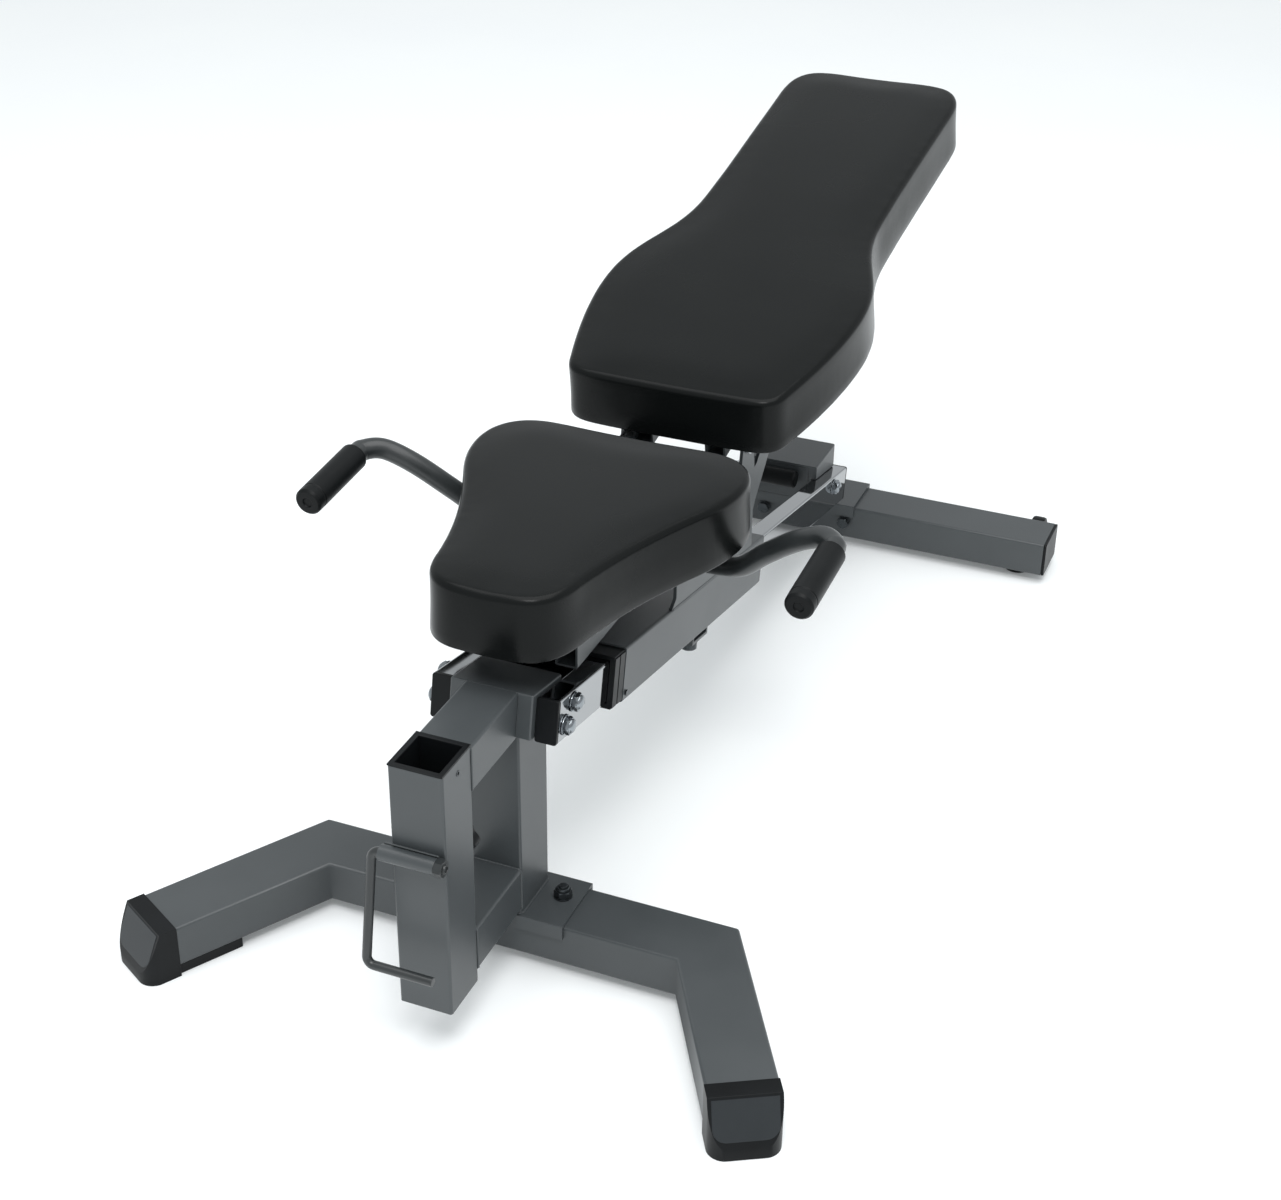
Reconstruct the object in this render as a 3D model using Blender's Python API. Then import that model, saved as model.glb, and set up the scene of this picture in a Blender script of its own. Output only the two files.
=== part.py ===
"""Adjustable weight bench: a welded base with a front receiver, two chrome rails,
and a carriage that slides on them with the seat, the backrest and two hand grips.

Run it with blender --background --python part.py, or from Blender's text editor.
Metres, +Z up.  +X is the sitter's right, +Y runs from the front foot to the head end.
"""
import math

import bmesh
import bpy
from mathutils import Vector
from mathutils.geometry import tessellate_polygon

for leftover in list(bpy.data.objects):
    bpy.data.objects.remove(leftover, do_unlink=True)

# ---------------------------------------------------------------- fits
GAP = 0.0003            # between two pieces that touch
HOLE_CLEARANCE = 0.0003  # round a bolt or a pin, on the radius
SLIDE_GAP = 0.0004      # between a rail and the guide that runs on it

# ---------------------------------------------------------------- front foot
FOOT_DEPTH = 0.076      # foot tube, across
FOOT_HEIGHT = 0.051     # foot tube, upright
FOOT_WALL = 0.003
FOOT_LIFT = 0.014       # underside of the foot tube above the floor
BEND_HALF_SPAN = 0.2545  # from the middle to the outer corner of a bend
LEG_SPLAY = math.radians(29.75)  # of a leg, out from straight ahead
LEG_LENGTH = 0.235      # along the outer edge, from the bend to the shoe
SHOE_LENGTH = 0.042
SHOE_TOP_LENGTH = 0.020  # flat band on top of the shoe
SHOE_PROUD = 0.0016     # shoe skin outside the tube
SHOE_SOLE_LENGTH = 0.078  # sole strip that runs back under the leg
SHOE_SPIGOT = 0.030
SADDLE_HALF_LENGTH = 0.079
SADDLE_PLATE = 0.004
SADDLE_LIP = 0.014      # how far a saddle's lips hang down the foot tube
SADDLE_BOLT_X = 0.058
SADDLE_BOLT_OFFSET = 0.008  # of the bolts, behind the foot tube's middle

# ---------------------------------------------------------------- front post
TUBE_WIDTH = 0.060      # column, arms and receiver, across
TUBE_WALL = 0.003
COLUMN_DEPTH = 0.070
COLUMN_BACK = -0.0068   # rear face of the column, from the rear edge of the crossbar
ARM_HEIGHT = 0.054
LOWER_ARM_TOP = 0.130
UPPER_ARM_TOP = 0.357
RECEIVER_DEPTH = 0.062
RECEIVER_FRONT = -0.2467
RECEIVER_BOTTOM = 0.0627
RECEIVER_TOP = 0.3583
LINER_WALL = 0.0025
LINER_LENGTH = 0.120
LINER_FLANGE = 0.002
CLAMP_HEIGHT = 0.220    # of the clamp screw above the floor
CLAMP_SCREW_RADIUS = 0.005
CLAMP_KNOB_RADIUS = 0.021
LIFT_AXIS_HEIGHT = 0.258
LIFT_SLEEVE_RADIUS = 0.0085
LIFT_SLEEVE_HALF = 0.031
LIFT_ROD_RADIUS = 0.005
LIFT_DROP = 0.128       # from the pivot to the grip bar
LIFT_LEAN = math.radians(11)  # of the hanging handle, forward
LIFT_GRIP_END = 0.028   # free end of the grip bar
LIFT_BEND = 0.009       # bend radius of the rod, to its middle line

# ---------------------------------------------------------------- rails
RAIL_SLOPE = math.radians(11.1)  # down towards the rear
RAIL_START = (-0.068, 0.351)     # y and z of the top front edge
RAIL_LENGTH = 1.0405
RAIL_WIDTH = 0.025
RAIL_HEIGHT = 0.050
RAIL_WALL = 0.0025
RAIL_INSIDE = 0.0476    # from the middle to a rail's inner face
CAP_THICKNESS = 0.0045
CAP_SPIGOT = 0.008
HEAD_PLATE = 0.005
HEAD_PROUD = 0.004      # head bracket above the rails
HEAD_BOLTS = ((0.039, 0.0125), (0.0205, 0.0325))  # along a rail and down from its top
RAIL_BOLT_RADIUS = 0.006
WASHER_RADIUS = 0.0115
WASHER_THICKNESS = 0.002
BOLT_HEAD_HEIGHT = 0.008
BOLT_HEAD_APOTHEM = 0.0095

# ---------------------------------------------------------------- rear foot
REAR_FOOT_FRONT = 0.990
REAR_FOOT_HALF = 0.364
REAR_CAP = 0.004
REAR_PAD_X = 0.322
REAR_PAD_RADIUS = 0.020
REAR_SADDLE_HALF = 0.077
REAR_BOX_HALF = 0.055
REAR_BOX_FRONT = 0.857
REAR_BOX_BACK = 0.940
REAR_BOX_TOP = 0.190
REAR_BOX_BOTTOM = 0.132
REAR_BOX_WALL = 0.004
REAR_BOLT = (0.886, 0.150)
POST_TOP_FRONT = 0.876
POST_FOOT_FRONT = 0.998
POST_DEPTH = 0.060
BUFFER_RADIUS = 0.0125
BUFFER_HALF = 0.029
WHEEL_X = 0.334
WHEEL_RADIUS = 0.025
WHEEL_WIDTH = 0.021
WHEEL_HEIGHT = 0.027
WHEEL_BACK = 0.030      # wheel centre behind the rear foot
WHEEL_AXLE_RADIUS = 0.005
WHEEL_PLATE = 0.005

# ---------------------------------------------------------------- carriage
CARRIAGE_START = 0.165  # along the rails, from their front end
CARRIAGE_LENGTH = 0.470
CARRIAGE_SIDE = 0.0074  # outside of the carriage beyond a rail's outer face
CARRIAGE_HALF = RAIL_INSIDE + RAIL_WIDTH + CARRIAGE_SIDE
CARRIAGE_WALL = 0.004
CARRIAGE_OVER = 0.007   # carriage top above the rails
CARRIAGE_UNDER = 0.008  # carriage bottom below the rails
BUSH_FLANGE = 0.030
BUSH_DEPTH = 0.040
LOCK_ALONG = 0.432      # carriage lock, along the rails
LOCK_PIN_RADIUS = 0.005
LOCK_BRACKET_HALF = 0.026
LOCK_BRACKET_DROP = 0.014
LOCK_STANDOFF = 0.0006  # pin tip short of the rail, the lock drawn clear
SIDE_PLATE = 0.004
HINGE_Y = 0.478         # backrest hinge
HINGE_Z = 0.404
HINGE_RADIUS = 0.008
HINGE_LUG = 0.020
SEAT_PIVOT_Y = 0.290
SEAT_PIVOT_Z = 0.370
SEAT_PIVOT_RADIUS = 0.006
REST_BAR_Y = 0.583
REST_BAR_Z = 0.383
REST_BAR_RADIUS = 0.012
REST_BAR_CLEARANCE = 0.0025
BACKREST_LIFT = math.radians(70)  # the backrest's highest position over its rest position
LATCH_ANGLE = math.radians(-100)  # from the hinge to the backrest lock pin
LATCH_RADIUS = 0.131
LATCH_STEP = math.radians(10)
LATCH_STEPS = 8
LATCH_PIN_RADIUS = 0.005
SECTOR_RADIUS = 0.145
SECTOR_PLATE = 0.006

# ---------------------------------------------------------------- seat
SEAT_TOP = 0.477
SEAT_THICKNESS = 0.070
BOARD_THICKNESS = 0.010
BOARD_INSET = 0.014
LEG_BAR_OUTSIDE = 0.060  # outer face of the bars under seat and backrest
LEG_BAR_WIDTH = 0.026
LEG_BAR_WALL = 0.0025
SEAT_BAR_BOTTOM = 0.344
SEAT_BAR_FRONT = 0.007
SEAT_BAR_BACK = 0.306

# ---------------------------------------------------------------- backrest
BACK_EDGE_Y = 0.4025    # front edge of the pad's top
BACK_EDGE_Z = 0.4923
BACK_ANGLE = math.radians(9.77)
BACK_LENGTH = 0.861
BACK_THICKNESS = 0.068
BACK_BAR_DEPTH = 0.030
BACK_BAR_START = 0.030
BACK_BAR_END = 0.640

# ---------------------------------------------------------------- hand grips
HANDLE_RADIUS = 0.0122
GRIP_RADIUS = 0.0162
GRIP_START_Y = 0.176
GRIP_END_Y = 0.052
GRIP_X = 0.284
GRIP_Z = 0.4575
GRIP_DIP = 0.009        # fall of a grip towards its end

ROUND = 20              # sides of a round piece
HANDLE_STEPS = 3        # bends drawn between two knots of a handle

X_AXIS = Vector((1, 0, 0))
Y_AXIS = Vector((0, 1, 0))
Z_AXIS = Vector((0, 0, 1))


# ================================================================ materials
def surface(name, color, roughness, metallic=0.0):
    material = bpy.data.materials.new(name)
    material.use_nodes = True
    shader = material.node_tree.nodes["Principled BSDF"]
    shader.inputs["Base Color"].default_value = (*color, 1.0)
    shader.inputs["Roughness"].default_value = roughness
    shader.inputs["Metallic"].default_value = metallic
    material.diffuse_color = (*color, 1.0)
    return material


PAINT = ("graphite_powder_coat", (0.075, 0.082, 0.086), 0.42)
CHROME = ("chrome_plate", (0.80, 0.80, 0.80), 0.08, 1.0)
BLACK_PLASTIC = ("black_plastic", (0.012, 0.013, 0.014), 0.5)
BLACK_RUBBER = ("black_rubber", (0.010, 0.010, 0.011), 0.75)
BLACK_STEEL = ("black_steel", (0.020, 0.021, 0.022), 0.4, 0.6)
ZINC = ("zinc_plate", (0.55, 0.56, 0.57), 0.3, 1.0)
LEATHERETTE = ("black_leatherette", (0.018, 0.019, 0.020), 0.45)
PLYWOOD = ("black_board", (0.022, 0.021, 0.020), 0.8)


# ================================================================ mesh helpers
def add_node(name, mesh, finish, origin=(0, 0, 0), smooth=False):
    """Makes one named object from a bmesh in world coordinates, with its origin moved."""
    bmesh.ops.remove_doubles(mesh, verts=mesh.verts, dist=0.000001)
    bmesh.ops.recalc_face_normals(mesh, faces=mesh.faces)
    bmesh.ops.translate(mesh, verts=mesh.verts, vec=-Vector(origin))
    data = bpy.data.meshes.new(name)
    mesh.to_mesh(data)
    mesh.free()
    if smooth:
        data.shade_smooth()
        data.set_sharp_from_angle(angle=math.radians(35))
    data.materials.append(surface(name + "_" + finish[0], *finish[1:]))
    node = bpy.data.objects.new(name, data)
    node.location = origin
    bpy.context.collection.objects.link(node)
    return node


def skin(mesh, rings, closed=False):
    """Joins equal rings of points with quads; open skins get flat end faces."""
    loops = [[mesh.verts.new(point) for point in ring] for ring in rings]
    pairs = list(zip(loops, loops[1:]))
    if closed:
        pairs.append((loops[-1], loops[0]))
    for first, second in pairs:
        for i in range(len(first)):
            j = (i + 1) % len(first)
            mesh.faces.new((first[i], first[j], second[j], second[i]))
    if not closed:
        mesh.faces.new(loops[0][::-1])
        mesh.faces.new(loops[-1])
    return mesh


def prism(loops, near, far):
    """Solid between two copies of a flat outline with holes; near and far place a 2-D point."""
    mesh = bmesh.new()
    flat = [Vector((p, q, 0)) for loop in loops for p, q in loop]
    triangles = tessellate_polygon([[Vector((p, q, 0)) for p, q in loop] for loop in loops])
    low = [mesh.verts.new(near(point.x, point.y)) for point in flat]
    high = [mesh.verts.new(far(point.x, point.y)) for point in flat]
    for triangle in triangles:
        mesh.faces.new([low[i] for i in triangle])
        mesh.faces.new([high[i] for i in reversed(triangle)])
    start = 0
    for loop in loops:
        count = len(loop)
        for i in range(count):
            j = (i + 1) % count
            mesh.faces.new((low[start + i], low[start + j], high[start + j], high[start + i]))
        start += count
    return mesh


def plate_x(loops, x0, x1):
    """Plate whose outline is given in Y and Z, between two X positions."""
    return prism(loops, lambda y, z: Vector((x0, y, z)), lambda y, z: Vector((x1, y, z)))


def plate_z(loops, z0, z1):
    return prism(loops, lambda x, y: Vector((x, y, z0)), lambda x, y: Vector((x, y, z1)))


def rectangle(p0, q0, p1, q1):
    return [(p0, q0), (p1, q0), (p1, q1), (p0, q1)]


def circle(p, q, radius, sides=ROUND):
    turn = [2 * math.pi * i / sides for i in range(sides)]
    return [(p + radius * math.cos(a), q + radius * math.sin(a)) for a in turn]


def arc(p, q, radius, start, end, steps=8):
    """Points on an arc, angles in radians."""
    angles = [start + (end - start) * i / steps for i in range(steps + 1)]
    return [(p + radius * math.cos(a), q + radius * math.sin(a)) for a in angles]


def bezier(p0, c0, c1, p1, steps=8):
    points = []
    for i in range(steps):
        t = i / steps
        weights = ((1 - t) ** 3, 3 * t * (1 - t) ** 2, 3 * t * t * (1 - t), t ** 3)
        points.append(tuple(sum(w * p[k] for w, p in zip(weights, (p0, c0, c1, p1))) for k in (0, 1)))
    return points


def across(axis):
    """Two directions square to an axis."""
    helper = Z_AXIS if abs(axis.z) < 0.9 else X_AXIS
    u = axis.cross(helper).normalized()
    return u, axis.cross(u).normalized()


def ring(centre, u, v, radius, hexagon=False, sides=ROUND):
    """A round ring of points, or a hexagon of the same point count with radius as apothem."""
    points = []
    for i in range(sides):
        angle = 2 * math.pi * i / sides
        reach = radius
        if hexagon:
            reach = radius / math.cos((angle % (math.pi / 3)) - math.pi / 6)
        points.append(centre + u * (reach * math.cos(angle)) + v * (reach * math.sin(angle)))
    return points


def turned(base, axis, stations, bore=0.0, sides=ROUND):
    """A turned piece: stations are (distance, radius) or (distance, apothem, 'hex')."""
    axis = Vector(axis).normalized()
    u, v = across(axis)
    base = Vector(base)
    rings = [ring(base + axis * s[0], u, v, s[1], len(s) > 2, sides) for s in stations]
    if bore:
        for distance in (stations[-1][0], stations[0][0]):
            rings.append(ring(base + axis * distance, u, v, bore, sides=sides))
    return skin(bmesh.new(), rings, closed=bool(bore))


def pipe(path, radius, bore=0.0, sides=20):
    """Round bar or tube along a path of points."""
    points = [Vector(p) for p in path]
    headings = []
    for i, point in enumerate(points):
        before = points[max(i - 1, 0)]
        after = points[min(i + 1, len(points) - 1)]
        headings.append((after - before).normalized())
    u, v = across(headings[0])
    outer, inner = [], []
    for point, heading in zip(points, headings):
        u = (u - heading * u.dot(heading)).normalized()
        v = heading.cross(u)
        outer.append(ring(point, u, v, radius, sides=sides))
        inner.append(ring(point, u, v, bore, sides=sides))
    if bore:
        return skin(bmesh.new(), outer + inner[::-1], closed=True)
    return skin(bmesh.new(), outer)


def rounded_path(corners, radius, steps=6):
    """Follows straight lines between corners, with each inner corner rounded."""
    points = [Vector(corners[0])]
    for before, corner, after in zip(corners, corners[1:], corners[2:]):
        corner = Vector(corner)
        back = (Vector(before) - corner).normalized()
        on = (Vector(after) - corner).normalized()
        half = back.angle(on) / 2
        cut = radius / math.tan(half)
        centre = corner + (back + on).normalized() * (radius / math.sin(half))
        start = (corner + back * cut - centre).normalized()
        end = (corner + on * cut - centre).normalized()
        for i in range(steps + 1):
            points.append(centre + start.slerp(end, i / steps) * radius)
    points.append(Vector(corners[-1]))
    return points


def rect_tube(place, half_p, q0, q1, wall, ends):
    """Rectangular tube; place(p, q, r) gives a point, ends are its two r values."""
    outer = rectangle(-half_p, q0, half_p, q1)
    inner = rectangle(-half_p + wall, q0 + wall, half_p - wall, q1 - wall)
    rings = [[place(p, q, r) for p, q in outer] for r in ends]
    rings += [[place(p, q, r) for p, q in inner] for r in reversed(ends)]
    return skin(bmesh.new(), rings, closed=True)


def carve(node, mesh):
    """Cuts a closed mesh out of a node."""
    bmesh.ops.recalc_face_normals(mesh, faces=mesh.faces)
    data = bpy.data.meshes.new("cutter")
    mesh.to_mesh(data)
    mesh.free()
    cutter = bpy.data.objects.new("cutter_" + node.name, data)
    cutter.hide_render = True
    cutter.display_type = "WIRE"
    bpy.context.collection.objects.link(cutter)
    cut = node.modifiers.new("hole", "BOOLEAN")
    cut.operation = "DIFFERENCE"
    cut.object = cutter


def drill(node, base, axis, length, radius, sides=16):
    """Cuts a round hole through a node."""
    carve(node, turned(Vector(base), axis, ((0, radius), (length, radius)), sides=sides))


def mirrored(outline):
    """Completes an outline that starts and ends on the middle line at p = 0."""
    other = [(-p, q) for p, q in reversed(outline) if p > 0.000001]
    return outline + other


# ================================================================ frames of reference
RAIL_ALONG = Vector((0, math.cos(RAIL_SLOPE), -math.sin(RAIL_SLOPE)))
RAIL_UP = Vector((0, math.sin(RAIL_SLOPE), math.cos(RAIL_SLOPE)))
RAIL_ORIGIN = Vector((0, *RAIL_START))


def on_rail(x, up, along):
    """A point from X, the height over the rails' top, and the distance from their front end."""
    return RAIL_ORIGIN + X_AXIS * x + RAIL_UP * up + RAIL_ALONG * along


def rail_height(y, up=0.0):
    """World height of a line that runs parallel to the rails' top, at a given Y."""
    along = (y - RAIL_START[0] - RAIL_UP.y * up) / RAIL_ALONG.y
    return on_rail(0, up, along).z


BACK_ALONG = Vector((0, math.cos(BACK_ANGLE), math.sin(BACK_ANGLE)))
BACK_UP = Vector((0, -math.sin(BACK_ANGLE), math.cos(BACK_ANGLE)))
BACK_ORIGIN = Vector((0, BACK_EDGE_Y, BACK_EDGE_Z))


def on_back(x, along, up):
    """A point from X, the distance from the pad's front edge and the height over its top."""
    return BACK_ORIGIN + X_AXIS * x + BACK_ALONG * along + BACK_UP * up


HINGE = Vector((0, HINGE_Y, HINGE_Z))
SEAT_PIVOT = Vector((0, SEAT_PIVOT_Y, SEAT_PIVOT_Z))
FOOT_TOP = FOOT_LIFT + FOOT_HEIGHT
SIDES = (("left", -1), ("right", 1))


# ================================================================ front foot
def leg_point(side, along, inward, height):
    """A point on a leg: along it from the bend, inward from its outer face."""
    corner = Vector((side * BEND_HALF_SPAN, 0, height))
    heading = Vector((side * math.sin(LEG_SPLAY), -math.cos(LEG_SPLAY), 0))
    inwards = Vector((-side * math.cos(LEG_SPLAY), -math.sin(LEG_SPLAY), 0))
    return corner + heading * along + inwards * inward


def bend_point(side, inward, height):
    """The mitre corner of a bend, inward from the outer faces of both tubes."""
    slide = inward * (1 - math.sin(LEG_SPLAY)) / math.cos(LEG_SPLAY)
    return leg_point(side, slide, inward, height)


def build_front_foot():
    def station(kind, side, inset):
        place = bend_point if kind == "bend" else lambda s, v, z: leg_point(s, LEG_LENGTH, v, z)
        depth = (inset, FOOT_DEPTH - inset)
        height = (FOOT_LIFT + inset, FOOT_TOP - inset)
        corners = ((0, 0), (1, 0), (1, 1), (0, 1))
        return [place(side, depth[a], height[b]) for a, b in corners]

    stops = (("end", -1), ("bend", -1), ("bend", 1), ("end", 1))
    rings = [station(kind, side, 0) for kind, side in stops]
    rings += [station(kind, side, FOOT_WALL) for kind, side in reversed(stops)]
    foot = add_node("front_foot", skin(bmesh.new(), rings, closed=True), PAINT)
    for side in (-1, 1):
        base = (side * SADDLE_BOLT_X, saddle_bolt_y(0), 0)
        drill(foot, base, Z_AXIS, FOOT_TOP + 0.02, RAIL_BOLT_RADIUS + HOLE_CLEARANCE)


def saddle_bolt_y(foot_back):
    return foot_back - FOOT_DEPTH / 2 + SADDLE_BOLT_OFFSET


def build_shoe(name, side):
    """Moulded end shoe: a cap with a slanted nose, a spigot in the tube and a sole strip."""
    start = LEG_LENGTH + GAP
    low = -SHOE_PROUD
    high = FOOT_DEPTH + SHOE_PROUD
    top = FOOT_TOP + SHOE_PROUD
    # height, reach of the nose, cut off its plan corners
    levels = (
        (0.0, SHOE_LENGTH - 0.006, 0.017),
        (0.004, SHOE_LENGTH - 0.001, 0.015),
        (0.012, SHOE_LENGTH, 0.013),
        (0.020, SHOE_LENGTH - 0.002, 0.010),
        (top, SHOE_TOP_LENGTH, 0.002),
    )
    rings = []
    for height, reach, cut in levels:
        nose = start + reach
        plan = [(start, low), (nose - cut, low), (nose - cut * 0.3, low + cut * 0.3), (nose, low + cut)]
        plan += [(nose, high - cut), (nose - cut * 0.3, high - cut * 0.3), (nose - cut, high), (start, high)]
        rings.append([leg_point(side, a, v, height) for a, v in plan])
    shoe = add_node(name, skin(bmesh.new(), rings), BLACK_PLASTIC)
    inset = FOOT_WALL + GAP * 2

    def block(a0, a1, v0, v1, z0, z1):
        corners = rectangle(a0, v0, a1, v1)
        return skin(bmesh.new(), [[leg_point(side, a, v, z) for a, v in corners] for z in (z0, z1)])

    spigot = block(start - SHOE_SPIGOT, start + 0.005, inset, FOOT_DEPTH - inset,
                   FOOT_LIFT + inset, FOOT_TOP - inset)
    sole = block(start - SHOE_SOLE_LENGTH, start + 0.005, 0.003, FOOT_DEPTH - 0.003,
                 0.0, FOOT_LIFT - GAP)
    for part, label in ((spigot, "spigot"), (sole, "sole")):
        join(shoe, part, label)


def join(node, mesh, label):
    """Welds another closed mesh into a node."""
    bmesh.ops.recalc_face_normals(mesh, faces=mesh.faces)
    data = bpy.data.meshes.new(label)
    mesh.to_mesh(data)
    mesh.free()
    extra = bpy.data.objects.new("cutter_" + node.name + "_" + label, data)
    extra.hide_render = True
    extra.display_type = "WIRE"
    bpy.context.collection.objects.link(extra)
    weld = node.modifiers.new(label, "BOOLEAN")
    weld.operation = "UNION"
    weld.object = extra


def saddle_profile(front, back):
    """Section of a saddle plate over a foot tube, in Y and Z."""
    low = FOOT_TOP - SADDLE_LIP
    top = FOOT_TOP + GAP + SADDLE_PLATE
    inner_front = front - GAP
    inner_back = back + GAP
    return [
        (inner_front - SADDLE_PLATE, low), (inner_front, low),
        (inner_front, FOOT_TOP + GAP), (inner_back, FOOT_TOP + GAP),
        (inner_back, low), (inner_back + SADDLE_PLATE, low),
        (inner_back + SADDLE_PLATE, top), (inner_front - SADDLE_PLATE, top),
    ]


SADDLE_TOP = FOOT_TOP + GAP + SADDLE_PLATE


def build_saddle_bolt(name, x, y):
    """Bolt up through the foot tube and its saddle, with a locking nut on top."""
    head = FOOT_LIFT - GAP
    nut = SADDLE_TOP + GAP
    stations = (
        (head - 0.0065, 0.0085, "hex"), (head, 0.0085, "hex"), (head, RAIL_BOLT_RADIUS),
        (nut, RAIL_BOLT_RADIUS), (nut, 0.0105), (nut + 0.0015, 0.0105),
        (nut + 0.0015, BOLT_HEAD_APOTHEM, "hex"), (nut + 0.0095, BOLT_HEAD_APOTHEM, "hex"),
        (nut + 0.0095, 0.0085), (nut + 0.013, 0.0082), (nut + 0.013, 0.0055), (nut + 0.0165, 0.0052),
    )
    add_node(name, turned((x, y, 0), Z_AXIS, stations), BLACK_STEEL, (x, y, nut), smooth=True)


build_front_foot()
for side_name, side in SIDES:
    build_shoe("front_shoe_" + side_name, side)
add_node("front_saddle", prism(
    [saddle_profile(-FOOT_DEPTH, 0)],
    lambda y, z: Vector((-SADDLE_HALF_LENGTH, y, z)),
    lambda y, z: Vector((SADDLE_HALF_LENGTH, y, z))), PAINT)
for side_name, side in SIDES:
    drill(bpy.data.objects["front_saddle"], (side * SADDLE_BOLT_X, saddle_bolt_y(0), FOOT_TOP - 0.01),
          Z_AXIS, 0.03, RAIL_BOLT_RADIUS + HOLE_CLEARANCE)
    build_saddle_bolt("saddle_bolt_" + side_name, side * SADDLE_BOLT_X, saddle_bolt_y(0))


# ================================================================ front post and receiver
COLUMN_FRONT = COLUMN_BACK - COLUMN_DEPTH
RECEIVER_BACK = RECEIVER_FRONT + RECEIVER_DEPTH
HEAD_START = (COLUMN_FRONT - RAIL_START[0]) / RAIL_ALONG.y
HEAD_END = (COLUMN_BACK - RAIL_START[0]) / RAIL_ALONG.y
HEAD_UNDERSIDE = HEAD_PROUD - HEAD_PLATE
HEAD_HALF = RAIL_INSIDE - GAP


def upright(half, y0, y1, wall, bottom, top_at):
    """Square upright tube with a top that can follow a slope."""
    outer = rectangle(-half, y0, half, y1)
    inner = rectangle(-half + wall, y0 + wall, half - wall, y1 - wall)
    rings = [[Vector((x, y, bottom)) for x, y in outer]]
    rings.append([Vector((x, y, top_at(y))) for x, y in outer])
    rings.append([Vector((x, y, top_at(y))) for x, y in inner])
    rings.append([Vector((x, y, bottom)) for x, y in inner])
    return skin(bmesh.new(), rings, closed=True)


def build_column():
    column = add_node("column", upright(
        TUBE_WIDTH / 2, COLUMN_FRONT, COLUMN_BACK, TUBE_WALL, SADDLE_TOP + GAP,
        lambda y: rail_height(y, HEAD_UNDERSIDE - GAP)), PAINT)
    for along, down in HEAD_BOLTS:
        drill(column, on_rail(-TUBE_WIDTH, -down, along), X_AXIS, TUBE_WIDTH * 2,
              RAIL_BOLT_RADIUS + HOLE_CLEARANCE)


def build_arm(name, top):
    """Level tube between the receiver and the column."""
    def place(x, z, y):
        return Vector((x, y, z))

    ends = (RECEIVER_BACK + GAP, COLUMN_FRONT - GAP)
    add_node(name, rect_tube(place, TUBE_WIDTH / 2, top - ARM_HEIGHT, top, TUBE_WALL, ends), PAINT)


def build_receiver():
    tube = add_node("receiver_tube", upright(
        TUBE_WIDTH / 2, RECEIVER_FRONT, RECEIVER_BACK, TUBE_WALL, RECEIVER_BOTTOM,
        lambda y: RECEIVER_TOP), PAINT)
    drill(tube, (0, RECEIVER_BACK - 0.01, CLAMP_HEIGHT), Y_AXIS, 0.02,
          CLAMP_SCREW_RADIUS + HOLE_CLEARANCE)
    half = TUBE_WIDTH / 2
    skin_half = half - TUBE_WALL - GAP
    bore_half = skin_half - LINER_WALL
    front = RECEIVER_FRONT + TUBE_WALL + GAP
    back = RECEIVER_BACK - TUBE_WALL - GAP
    seat = RECEIVER_TOP + GAP
    bottom = seat - LINER_LENGTH
    flange = rectangle(-half, RECEIVER_FRONT, half, RECEIVER_BACK)
    sleeve = rectangle(-skin_half, front, skin_half, back)
    bore = rectangle(-bore_half, front + LINER_WALL, bore_half, back - LINER_WALL)
    heights = ((bore, bottom), (sleeve, bottom), (sleeve, seat), (flange, seat),
               (flange, seat + LINER_FLANGE), (bore, seat + LINER_FLANGE))
    rings = [[Vector((x, y, z)) for x, y in outline] for outline, z in heights]
    add_node("receiver_liner", skin(bmesh.new(), rings, closed=True), BLACK_PLASTIC)


def build_clamp():
    """Star knob on a screw through the receiver's rear wall."""
    lobes = 6
    hub = RECEIVER_BACK + 0.002
    knob = hub + 0.016
    base = Vector((0, RECEIVER_BACK - TUBE_WALL - 0.002, CLAMP_HEIGHT))
    u, v = across(Y_AXIS)
    rings = [ring(base, u, v, CLAMP_SCREW_RADIUS, sides=36)]
    rings.append(ring(Vector((0, hub, CLAMP_HEIGHT)), u, v, CLAMP_SCREW_RADIUS, sides=36))
    rings.append(ring(Vector((0, hub, CLAMP_HEIGHT)), u, v, 0.009, sides=36))
    rings.append(ring(Vector((0, knob, CLAMP_HEIGHT)), u, v, 0.010, sides=36))
    for y, shrink in ((knob, 0.94), (knob + 0.002, 1.0), (knob + 0.014, 1.0), (knob + 0.017, 0.9)):
        points = []
        for i in range(36):
            angle = 2 * math.pi * i / 36
            reach = CLAMP_KNOB_RADIUS * shrink * (1 - 0.09 * (1 - math.cos(lobes * angle)))
            points.append(Vector((0, y, CLAMP_HEIGHT)) + (u * math.cos(angle) + v * math.sin(angle)) * reach)
        rings.append(points)
    add_node("clamp_knob", skin(bmesh.new(), rings), BLACK_PLASTIC, (0, knob, CLAMP_HEIGHT), smooth=True)


LIFT_AXIS = Vector((0, RECEIVER_FRONT - LIFT_SLEEVE_RADIUS - GAP, LIFT_AXIS_HEIGHT))


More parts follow.
